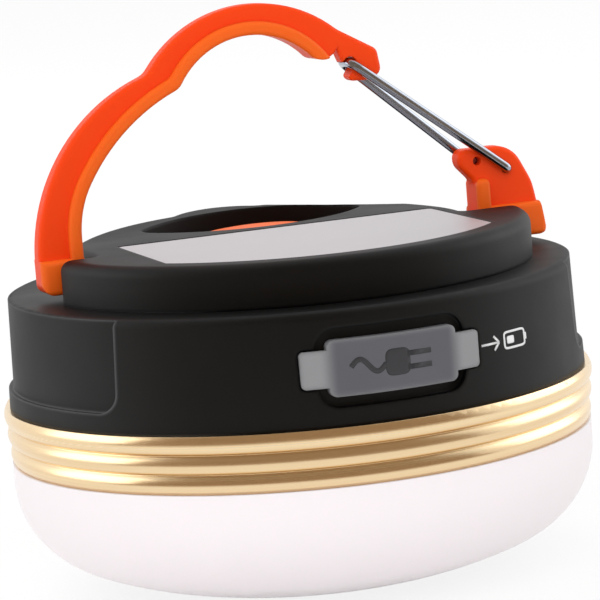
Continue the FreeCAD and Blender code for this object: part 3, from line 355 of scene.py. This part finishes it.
def spread(tree, mask, low, high):
    """A mask's middle stretch carried to the range from low to high."""
    limits = {"From Min": 0.3, "From Max": 0.7, "To Min": low, "To Max": high}
    ramp = put(tree, "ShaderNodeMapRange", limits)
    tree.links.new(mask, ramp.inputs["Value"])
    return ramp.outputs["Result"]


def relief(tree, shader, height, depth, normal):
    """Bump of a depth in metres over an already rounded normal, into the shader."""
    bump = put(tree, "ShaderNodeBump", {"Strength": 1.0, "Distance": depth})
    tree.links.new(height, bump.inputs["Height"])
    tree.links.new(normal, bump.inputs["Normal"])
    tree.links.new(bump.outputs["Normal"], shader.inputs["Normal"])


def tones(base, share):
    """A colour made darker and lighter by a share."""
    return [tuple(min(1.0, channel * factor) for channel in base) for factor in (1.0 - share, 1.0 + share)]


def moulding(name, base, roughness, share=0.12, pits=6000.0, depth=4e-6, constants=None):
    """A moulded finish: fine pits, and blotches in tone and gloss."""
    material, tree, shader = surface(name, constants or {})
    grain = effect(tree, "Moulded grain", Pits=pits)
    edges = effect(tree, "Soft edges", Radius=MOULDED_EDGE)
    dark, light = tones(base, share)
    mix = blend_colours(tree, grain.outputs["Blotch"], dark, light)
    tree.links.new(mix, shader.inputs["Base Color"])
    tree.links.new(spread(tree, grain.outputs["Blotch"], *roughness), shader.inputs["Roughness"])
    relief(tree, shader, grain.outputs["Height"], depth, edges.outputs["Normal"])
    return material


def tooled_metal(name, dark, light, roughness, along, depth=3e-6, constants=None):
    """A metal with the lines of its tool, drawn out along two of the three axes."""
    material, tree, shader = surface(name, {"Metallic": 1.0, **(constants or {})})
    lines = effect(tree, "Tool lines", **dict(zip(("Along_X", "Along_Y", "Along_Z"), along)))
    edges = effect(tree, "Soft edges", Radius=TOOLED_EDGE)
    mix = blend_colours(tree, spread(tree, lines.outputs["Streak"], 0.0, 1.0), dark, light)
    tree.links.new(mix, shader.inputs["Base Color"])
    tree.links.new(spread(tree, lines.outputs["Streak"], *roughness), shader.inputs["Roughness"])
    relief(tree, shader, lines.outputs["Height"], depth, edges.outputs["Normal"])
    return material


def soft_black(colours):
    """Soft-touch black: fine pits, and a painted highlight that makes the edges paler towards the two sides.
    """
    material, tree, shader = surface("soft_black", {"Specular IOR Level": 0.26})
    grain = effect(tree, "Moulded grain", Pits=5000.0)
    edges = effect(tree, "Soft edges", Radius=0.0007)
    front = effect(tree, "Near plane", Toward_X=1.0, Toward_Y=0.0, Half=0.018, Border=0.012)
    mottled = blend_colours(tree, grain.outputs["Blotch"], *tones(colours.body_black, 0.25))
    # Painted highlight: outside the middle band facing front and back, the edges take the paler edge colour
    side_edge_highlight = blend_colours(tree, front.outputs["Mask"], colours.body_edge_highlight, colours.body_black)
    tree.links.new(blend_colours(tree, edges.outputs["Edge"], mottled, side_edge_highlight), shader.inputs["Base Color"])
    tree.links.new(spread(tree, grain.outputs["Blotch"], 0.50, 0.60), shader.inputs["Roughness"])
    relief(tree, shader, grain.outputs["Height"], 6e-6, edges.outputs["Normal"])
    return material


def orange_plastic(colours):
    """Satin orange moulding: the thin web is painted a deeper red than the rib as painted shade of its
    recess, and the moulding is slightly lit from within.
    """
    constants = {
        "Subsurface Weight": 0.2,
        "Subsurface Radius": (1.0, 0.25, 0.08),
        "Subsurface Scale": 0.0012,
        "Specular IOR Level": 0.16,
    }
    material, tree, shader = surface("orange_plastic", constants)
    grain = effect(tree, "Moulded grain", Pits=3500.0, Blotches=90.0)
    edges = effect(tree, "Soft edges", Radius=0.0004)
    # Painted shade: the band of the web, within Half of the middle plane, gets the deeper red
    web = effect(tree, "Near plane", Half=0.00165, Border=0.0003)
    mottled = blend_colours(tree, grain.outputs["Blotch"], *tones(colours.handle_orange, 0.06))
    mix = blend_colours(tree, web.outputs["Mask"], mottled, colours.web_shade_red)
    tree.links.new(mix, shader.inputs["Base Color"])
    tree.links.new(spread(tree, grain.outputs["Blotch"], 0.38, 0.50), shader.inputs["Roughness"])
    relief(tree, shader, grain.outputs["Height"], 5e-6, edges.outputs["Normal"])
    return material


def grey_silicone(colours):
    """Soft grey silicone with a painted highlight on its edges and painted light shining through its thin end
    tabs.
    """
    constants = {"Specular IOR Level": 0.35, "Sheen Weight": 0.1, "Sheen Roughness": 0.4}
    material, tree, shader = surface("grey_silicone", constants)
    grain = effect(tree, "Moulded grain", Pits=2500.0, Blotches=120.0)
    edges = effect(tree, "Soft edges", Radius=0.0013, Gain=2.5)
    # Painted light: outside the thick middle the end tabs take the pale colour, and the edge mask gives the
    # edges a painted highlight
    thick = effect(tree, "Near plane", Toward_X=1.0, Toward_Y=0.0, Half=0.0080, Border=0.0028)
    mottled = blend_colours(tree, grain.outputs["Blotch"], *tones(colours.cover_grey, 0.08))
    tabs_lit_through = blend_colours(tree, thick.outputs["Mask"], colours.cover_painted_light, mottled)
    mix = blend_colours(tree, edges.outputs["Edge"], tabs_lit_through, colours.cover_painted_light)
    tree.links.new(mix, shader.inputs["Base Color"])
    tree.links.new(spread(tree, grain.outputs["Blotch"], 0.45, 0.58), shader.inputs["Roughness"])
    relief(tree, shader, grain.outputs["Height"], 6e-6, edges.outputs["Normal"])
    return material


def make_finishes(colours):
    """Every finish of the record's material slots, by slot."""
    milky = {
        "Subsurface Weight": 0.15,
        "Subsurface Radius": (1.0, 0.85, 0.85),
        "Subsurface Scale": 0.0015,
        "Specular IOR Level": 0.4,
    }
    steel_dark = (0.42, 0.42, 0.43)
    steel_light = (0.62, 0.62, 0.63)
    silver_dark, silver_light = tones(colours.plate_silver, 0.05)
    return {
        "milky_plastic": moulding(
            "milky_plastic", colours.dome_white, (0.36, 0.46), share=0.015, pits=2500.0, depth=2e-6,
            constants=milky,
        ),
        "gold_metal": tooled_metal(
            "gold_metal", colours.ring_bronze, colours.ring_gold, (0.20, 0.28), (12.0, 12.0, 5000.0),
            depth=1e-6,
        ),
        "soft_black": soft_black(colours),
        "orange_plastic": orange_plastic(colours),
        "bright_wire": tooled_metal(
            "bright_wire", *tones(colours.wire_grey, 0.12), (0.10, 0.18), (400.0, 6000.0, 400.0), depth=1e-6
        ),
        "silver_plate": tooled_metal(
            "silver_plate", silver_dark, silver_light, (0.34, 0.46), (60.0, 9000.0, 60.0), depth=2e-6,
            constants={"Metallic": 0.45, "Specular IOR Level": 0.2},
        ),
        "grey_silicone": grey_silicone(colours),
        "black_rubber": moulding("black_rubber", (0.018, 0.018, 0.018), (0.6, 0.75)),
        "steel": tooled_metal("steel", steel_dark, steel_light, (0.22, 0.36), (900.0, 900.0, 5000.0)),
        "board_green": moulding("board_green", (0.018, 0.15, 0.055), (0.3, 0.42), pits=1500.0),
        "board_white": moulding("board_white", (0.82, 0.82, 0.81), (0.38, 0.5), share=0.03, pits=1500.0),
        "dark_part": moulding("dark_part", (0.025, 0.025, 0.026), (0.4, 0.55), pits=3000.0),
        "cell_wrap": moulding("cell_wrap", (0.04, 0.14, 0.38), (0.25, 0.38), pits=800.0),
        "white_plastic": moulding("white_plastic", (0.76, 0.76, 0.75), (0.4, 0.52), share=0.03),
        "led_yellow": moulding("led_yellow", (0.85, 0.62, 0.08), (0.3, 0.4), share=0.08),
        "red_lead": moulding("red_lead", (0.55, 0.02, 0.02), (0.4, 0.52)),
        "black_lead": moulding("black_lead", (0.02, 0.02, 0.02), (0.42, 0.55)),
    }


# Surfaces


def flat_ring(count, power):
    """Points of the ring |a|^power + |b|^power = 1, evenly turned."""
    bearing = np.linspace(0.0, 2.0 * np.pi, count, endpoint=False)
    a, b = np.cos(bearing), np.sin(bearing)
    return np.sign(a) * np.abs(a) ** (2.0 / power), np.sign(b) * np.abs(b) ** (2.0 / power)


def stroke(path, width, height, closed=False):
    """A flattened ring carried along a path: path + normal * a * width / 2, and b * height above the wall."""
    path = np.asarray(path, dtype=float)
    if closed:
        ahead = np.roll(path, -1, axis=0) - np.roll(path, 1, axis=0)
    else:
        ahead = np.gradient(path, axis=0)
    ahead /= np.linalg.norm(ahead, axis=1, keepdims=True)
    aside = np.stack((-ahead[:, 1], ahead[:, 0]), axis=1)
    ends = [*range(len(path)), 0] if closed else [0, *range(len(path)), len(path) - 1]
    full = np.ones(len(ends))
    if not closed:
        full[[0, -1]] = 0.0
    path, aside = path[ends], aside[ends]
    a, b = flat_ring(STROKE_RING, 5.0)
    across = np.outer(full, a) * width / 2.0
    sideways = path[:, :1] + aside[:, :1] * across
    upwards = path[:, 1:] + aside[:, 1:] * across
    return np.stack((sideways, upwards, np.outer(full, b) * height), axis=-1)


def pillow(centre, half, power=6.0):
    """A soft-edged block: centre + half * (a(v) r(u), b(v) r(u), h(u)), with r and h on a flattened arc."""
    rise = np.linspace(0.5 * np.pi, -0.5 * np.pi, PILLOW_ROWS)
    r = np.cos(rise).clip(0.0) ** (2.0 / power)
    h = np.sign(np.sin(rise)) * np.abs(np.sin(rise)) ** (2.0 / power)
    a, b = flat_ring(PILLOW_COLUMNS, power)
    level = np.repeat(h[:, None], PILLOW_COLUMNS, axis=1)
    shape = np.stack((np.outer(r, a), np.outer(r, b), level), axis=-1)
    return np.asarray(centre) + np.asarray(half) * shape


def wrapped(drawing, angle, wall, level, draft=0.0):
    """A flat drawing (s, z, h) on a wall: radius wall + h - draft * z, bearing angle + s / wall from -Y."""
    bearing = angle + drawing[..., 0] / wall
    radius = wall + drawing[..., 2] - draft * drawing[..., 1]
    return np.stack((radius * np.sin(bearing), -radius * np.cos(bearing), level + drawing[..., 1]), axis=-1)


def ring_quads(rows, columns):
    """Corners of the quads of a grid that closes round its columns."""
    row, column = np.meshgrid(np.arange(rows - 1), np.arange(columns), indexing="ij")
    after = (column + 1) % columns
    here, above = row * columns, (row + 1) * columns
    corners = (here + column, here + after, above + after, above + column)
    return np.stack(corners, axis=-1).reshape(-1, 4)


def make_piece(name, surfaces, material, body):
    """One object from several grids, with its poles and seams merged and its faces outwards."""
    points, quads, start = [], [], 0
    for grid in surfaces:
        points.append(grid.reshape(-1, 3))
        quads.append(ring_quads(*grid.shape[:2]) + start)
        start += grid.shape[0] * grid.shape[1]
    mesh = bpy.data.meshes.new(name)
    mesh.from_pydata(np.concatenate(points).tolist(), [], np.concatenate(quads).tolist())
    shaped = bmesh.new()
    shaped.from_mesh(mesh)
    bmesh.ops.remove_doubles(shaped, verts=shaped.verts, dist=1e-7)
    bmesh.ops.recalc_face_normals(shaped, faces=shaped.faces)
    shaped.to_mesh(mesh)
    shaped.free()
    mesh.shade_smooth()
    mesh.materials.append(material)
    piece = bpy.data.objects.new(name, mesh)
    bpy.context.scene.collection.objects.link(piece)
    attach(piece, body)


def middle(node):
    """Middle of a node's box at rest."""
    low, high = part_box(node)
    return [(a + b) / 2.0 for a, b in zip(low, high)]


def plug_drawing(width, height):
    """A plug with two prongs and a wavy cord, drawn flat in metres."""
    cord_start, cord_end, cord_sway = -6.4, -1.4, 0.95
    prong_ends, prong_offset = (1.9, 3.4, 5.4), 0.95
    body_middle, body_half_length, body_half_width = 0.35, 1.85, 1.9
    along = np.linspace(cord_start, cord_end, CORD_POINTS)
    sway = cord_sway * np.sin((along - cord_start) * 2.0 * np.pi / (cord_end - cord_start))
    paths = [np.stack((along, sway), axis=1) * MM]
    for offset in (-prong_offset, prong_offset):
        paths.append(np.array([(x, offset) for x in prong_ends]) * MM)
    drawing = [stroke(path, width, height) for path in paths]
    half = (body_half_length * MM, body_half_width * MM, height)
    drawing.append(pillow((body_middle * MM, 0.0, 0.0), half, power=4.0))
    return drawing


def cell_drawing(width, height, inwards):
    """A cell outline with an arrow that points into it or out of it, drawn flat in metres."""
    cell_middle, cell_half_length, cell_half_height = 2.0, 2.2, 1.15
    nub_middle, nub_half_length, nub_half_height = 4.45, 0.22, 0.5
    charge_middle, charge_half_length, charge_half_height = 1.1, 0.75, 0.55
    shaft_points, barb_height = (-4.7, -3.0, -1.5), 1.0
    tip, tail = (-1.3, -2.3) if inwards else (-4.9, -3.9)
    a, b = flat_ring(OUTLINE_POINTS, 7.0)
    outline = np.stack((cell_middle + cell_half_length * a, cell_half_height * b), axis=1) * MM
    paths = [np.array([(x, 0.0) for x in shaft_points]) * MM]
    for z in (-barb_height, barb_height):
        paths.append(np.array(((tail, z), ((tail + tip) / 2.0, z / 2.0), (tip, 0.0))) * MM)
    drawing = [stroke(outline, width, height, closed=True)]
    drawing += [stroke(path, width, height) for path in paths]
    for centre, half_length, half_height in (
        (nub_middle, nub_half_length, nub_half_height),
        (charge_middle, charge_half_length, charge_half_height),
    ):
        drawing.append(pillow((centre * MM, 0.0, 0.0), (half_length * MM, half_height * MM, height)))
    return drawing


# Operators


class LANTERN_OT_finishes(bpy.types.Operator):
    """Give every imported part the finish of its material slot"""

    bl_idname = "lantern.finishes"
    bl_label = "Finish the parts"

    def execute(self, context):
        finishes = make_finishes(context.scene.lantern_colours)
        for part in frame["record"]["subparts"]:
            mesh = frame["nodes"][part["node"]].data
            mesh.materials.clear()
            mesh.materials.append(finishes[part["material_slot"]])
        return {"FINISHED"}


class LANTERN_OT_cover_marks(bpy.types.Operator):
    """Dark plug pictograms on the two port covers"""

    bl_idname = "lantern.cover_marks"
    bl_label = "Mark the port covers"

    def execute(self, context):
        marks = context.scene.lantern_marks
        finish = moulding("cover_print", context.scene.lantern_colours.mark_dark, (0.5, 0.6))
        places = (("input_mark", "input_cover", 0.0), ("output_mark", "output_cover", math.pi))
        for name, node, angle in places:
            low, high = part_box(node)
            wall = max(abs(low[1]), abs(high[1]))
            drawing = plug_drawing(marks.cover_stroke, marks.proud)
            bent = [wrapped(grid, angle, wall, middle(node)[2]) for grid in drawing]
            make_piece(name, bent, finish, node)
        return {"FINISHED"}


class LANTERN_OT_body_marks(bpy.types.Operator):
    """White cell pictograms on the housing, beside the two ports"""

    bl_idname = "lantern.body_marks"
    bl_label = "Mark the housing"

    def execute(self, context):
        marks = context.scene.lantern_marks
        finish = moulding("body_print", context.scene.lantern_colours.mark_white, (0.45, 0.55), share=0.04)
        wall = abs(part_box("input_cover")[0][1]) - marks.cover_proud
        for name, angle, inwards in (("charge_mark", 0.0, True), ("supply_mark", math.pi, False)):
            drawing = cell_drawing(marks.body_stroke, marks.proud, inwards)
            place = (angle + marks.body_angle, wall, middle("input_cover")[2], marks.wall_draft)
            bent = [wrapped(grid, *place) for grid in drawing]
            make_piece(name, bent, finish, "lantern_body")
        return {"FINISHED"}


class LANTERN_OT_contacts(bpy.types.Operator):
    """Dark tongues with gilt contact strips in the two sockets"""

    bl_idname = "lantern.contacts"
    bl_label = "Fit the socket contacts"

    def execute(self, context):
        marks = context.scene.lantern_marks
        sleeve = moulding("tongue_sleeve", (0.02, 0.02, 0.021), (0.4, 0.5))
        gilt_dark, gilt_light = (0.62, 0.42, 0.14), (0.84, 0.62, 0.26)
        gilt = tooled_metal("gilt_contact", gilt_dark, gilt_light, (0.2, 0.3), (4000.0, 200.0, 4000.0))
        for name, way, strips, thickness in (
            ("input", -1.0, 6, marks.input_tongue),
            ("output", 1.0, 4, marks.output_tongue),
        ):
            low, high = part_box(name + "_socket")
            level = middle(name + "_cover")[2]
            front = max(abs(low[1]), abs(high[1])) - marks.tongue_setback
            half_width = (high[0] - low[0]) / 2.0 - marks.tongue_margin
            half = np.array((half_width, marks.tongue_reach / 2.0, thickness / 2.0))
            centre = np.array((0.0, way * (front - half[1]), level))
            tongue = pillow(centre, half + marks.sleeve, power=14.0)
            make_piece(name + "_tongue", [tongue], sleeve, "lantern_body")
            pitch = 2.0 * half[0] / strips
            strip = (pitch / 4.0, half[1] - marks.contact_inset, half[2] + marks.contact_proud)
            places = (np.arange(strips) - (strips - 1) / 2.0) * pitch
            contacts = [pillow(centre + (x, 0.0, 0.0), strip, power=10.0) for x in places]
            make_piece(name + "_contacts", contacts, gilt, "lantern_body")
        return {"FINISHED"}


class LANTERN_OT_stage(bpy.types.Operator):
    """Pale floor, even white surroundings, a brown card, soft lamps and the camera"""

    bl_idname = "lantern.stage"
    bl_label = "Set the stage"

    def execute(self, context):
        scene, stage = context.scene, context.scene.lantern_stage
        scene.view_settings.view_transform = "Standard"
        self.make_world(scene, stage)
        self.make_floor(scene, stage)
        self.make_card(scene, stage)
        for name, place, size, watts, mirrored, lighting in (
            ("key_lamp", stage.key_place, stage.lamp_size, stage.key_watts, False, True),
            ("rear_lamp", stage.rear_place, stage.lamp_size, stage.rear_watts, False, True),
            ("left_box", stage.left_place, stage.box_size, stage.side_watts, True, False),
            ("right_box", stage.right_place, stage.box_size, stage.side_watts, True, False),
        ):
            box = self.make_lamp(name, size, watts, mirrored, lighting)
            facing = Vector((0.0, 0.0, stage.lamp_aim)) - Vector(place)
            box.location = place
            box.rotation_euler = facing.to_track_quat("-Z", "Y").to_euler()
            scene.collection.objects.link(box)
        self.make_camera(scene, stage)
        return {"FINISHED"}

    def seen_rays(self, tree):
        """One for camera, glossy and transmission rays."""
        path = put(tree, "ShaderNodeLightPath")
        seen = path.outputs["Is Camera Ray"]
        for kind in ("Is Glossy Ray", "Is Transmission Ray"):
            largest = put(tree, "ShaderNodeMath", operation="MAXIMUM")
            tree.links.new(seen, largest.inputs[0])
            tree.links.new(path.outputs[kind], largest.inputs[1])
            seen = largest.outputs["Value"]
        return seen

    def make_world(self, scene, stage):
        """White where it is seen or mirrored, and an even light elsewhere."""
        world = bpy.data.worlds.new("studio")
        world.use_nodes = True
        tree = world.node_tree
        tree.nodes.clear()
        light = put(tree, "ShaderNodeBackground", {"Color": WHITE, "Strength": stage.sky_light})
        white = put(tree, "ShaderNodeBackground", {"Color": WHITE, "Strength": 1.0})
        mix = put(tree, "ShaderNodeMixShader")
        out = put(tree, "ShaderNodeOutputWorld")
        tree.links.new(self.seen_rays(tree), mix.inputs[0])
        tree.links.new(light.outputs[0], mix.inputs[1])
        tree.links.new(white.outputs[0], mix.inputs[2])
        tree.links.new(mix.outputs[0], out.inputs["Surface"])
        scene.world = world

    def make_floor(self, scene, stage):
        """A round floor, radius r times (cos, sin) of the bearing, just under the dome's flat."""
        radius = np.linspace(0.0, stage.floor_radius, FLOOR_RINGS)
        bearing = np.linspace(0.0, 2.0 * np.pi, FLOOR_SPOKES, endpoint=False)
        level = np.full((FLOOR_RINGS, FLOOR_SPOKES), -stage.floor_drop)
        x, y = np.outer(radius, np.cos(bearing)), np.outer(radius, np.sin(bearing))
        disc = np.stack((x, y, level), axis=-1)
        quads = ring_quads(FLOOR_RINGS, FLOOR_SPOKES)[:, ::-1]
        mesh = bpy.data.meshes.new("floor")
        mesh.from_pydata(disc.reshape(-1, 3).tolist(), [], quads.tolist())
        material = bpy.data.materials.new("pale_floor")
        material.use_nodes = True
        tree = material.node_tree
        tree.nodes.clear()
        matt = put(tree, "ShaderNodeBsdfDiffuse", {"Color": (*stage.floor_white, 1.0)})
        white = put(tree, "ShaderNodeEmission", {"Color": WHITE, "Strength": 1.0})
        share = put(tree, "ShaderNodeMath", {1: stage.floor_lift}, operation="MULTIPLY")
        mix = put(tree, "ShaderNodeMixShader")
        out = put(tree, "ShaderNodeOutputMaterial")
        tree.links.new(self.seen_rays(tree), share.inputs[0])
        tree.links.new(share.outputs["Value"], mix.inputs[0])
        tree.links.new(matt.outputs[0], mix.inputs[1])
        tree.links.new(white.outputs[0], mix.inputs[2])
        tree.links.new(mix.outputs[0], out.inputs["Surface"])
        mesh.materials.append(material)
        floor = bpy.data.objects.new("floor", mesh)
        scene.collection.objects.link(floor)

    def make_card(self, scene, stage):
        """A card for mirrors only: along the floor to its foot, then radius * cos(t) and height * sin(t)."""
        rise = np.linspace(0.0, stage.card_rise, CARD_ROWS)
        reach = np.concatenate(([stage.card_near], stage.card_radius * np.cos(rise)))
        height = np.concatenate(([0.0], stage.card_height * np.sin(rise))) + stage.card_lift
        bearing = stage.azimuth + np.linspace(-stage.card_spread, stage.card_spread, CARD_COLUMNS)
        level = np.repeat(height[:, None], CARD_COLUMNS, axis=1)
        x, y = np.outer(reach, np.sin(bearing)), -np.outer(reach, np.cos(bearing))
        grid = np.stack((x, y, level), axis=-1)
        mesh = bpy.data.meshes.new("brown_card")
        quads = ring_quads(len(reach), CARD_COLUMNS).reshape(-1, CARD_COLUMNS, 4)[:, :-1].reshape(-1, 4)
        mesh.from_pydata(grid.reshape(-1, 3).tolist(), [], quads.tolist())
        material = bpy.data.materials.new("brown_card")
        material.use_nodes = True
        material.node_tree.nodes.clear()
        matt = put(material.node_tree, "ShaderNodeBsdfDiffuse", {"Color": (*stage.card_brown, 1.0)})
        out = put(material.node_tree, "ShaderNodeOutputMaterial")
        material.node_tree.links.new(matt.outputs[0], out.inputs["Surface"])
        mesh.materials.append(material)
        card = bpy.data.objects.new("brown_card", mesh)
        card.visible_camera = False
        card.visible_diffuse = False
        card.visible_shadow = False
        scene.collection.objects.link(card)

    def make_lamp(self, name, size, watts, mirrored, lighting):
        """A square soft box, which may be left out of mirrors or give no plain light."""
        lamp = bpy.data.lights.new(name, "AREA")
        lamp.shape = "SQUARE"
        lamp.size = size
        lamp.energy = watts
        box = bpy.data.objects.new(name, lamp)
        box.visible_glossy = mirrored
        box.visible_diffuse = lighting
        return box

    def make_camera(self, scene, stage):
        """A camera turned round the axis by azimuth, lifted by elevation, rolled about its line of sight."""
        lens = bpy.data.cameras.new("view")
        lens.lens = stage.lens
        lens.sensor_width = stage.sensor
        lens.clip_start = 0.01
        camera = bpy.data.objects.new("view", lens)
        bearing = Matrix.Rotation(stage.azimuth, 3, "Z")
        right = bearing @ Vector((1.0, 0.0, 0.0))
        back = bearing @ Vector((0.0, -math.cos(stage.elevation), math.sin(stage.elevation)))
        up = back.cross(right)
        level = math.cos(stage.roll) * right + math.sin(stage.roll) * up
        above = math.cos(stage.roll) * up - math.sin(stage.roll) * right
        aim = bearing @ Vector((stage.aim_side, 0.0, stage.aim_height))
        pose = Matrix((level, above, back)).transposed().to_4x4()
        pose.translation = aim + back * stage.distance
        camera.matrix_world = pose
        scene.collection.objects.link(camera)
        scene.camera = camera


class LANTERN_PT_panel(bpy.types.Panel):
    """Lists the lantern's operators and settings"""

    bl_idname = "LANTERN_PT_panel"
    bl_label = "Lantern"
    bl_space_type = "VIEW_3D"
    bl_region_type = "UI"
    bl_category = "Lantern"

    def draw(self, context):
        for operator in OPERATORS:
            self.layout.operator(operator.bl_idname)
        scene = context.scene
        for settings in (scene.lantern_colours, scene.lantern_marks, scene.lantern_stage):
            box = self.layout.box()
            for key in settings.bl_rna.properties.keys():
                if key not in ("rna_type", "name"):
                    box.prop(settings, key)


SETTINGS = (LanternColours, LanternMarks, LanternStage)
OPERATORS = (
    LANTERN_OT_finishes,
    LANTERN_OT_cover_marks,
    LANTERN_OT_body_marks,
    LANTERN_OT_contacts,
    LANTERN_OT_stage,
)


def register():
    """Make the classes and the scene's settings known."""
    for kind in (*SETTINGS, *OPERATORS, LANTERN_PT_panel):
        bpy.utils.register_class(kind)
    bpy.types.Scene.lantern_colours = PointerProperty(type=LanternColours)
    bpy.types.Scene.lantern_marks = PointerProperty(type=LanternMarks)
    bpy.types.Scene.lantern_stage = PointerProperty(type=LanternStage)


def unregister():
    """Take the settings and the classes away again."""
    del bpy.types.Scene.lantern_stage
    del bpy.types.Scene.lantern_marks
    del bpy.types.Scene.lantern_colours
    for kind in reversed((*SETTINGS, *OPERATORS, LANTERN_PT_panel)):
        bpy.utils.unregister_class(kind)


def main():
    """Finish the parts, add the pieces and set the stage."""
    register()
    bpy.ops.lantern.finishes()
    bpy.ops.lantern.cover_marks()
    bpy.ops.lantern.body_marks()
    bpy.ops.lantern.contacts()
    bpy.ops.lantern.stage()


if __name__ == "__main__":
    main()
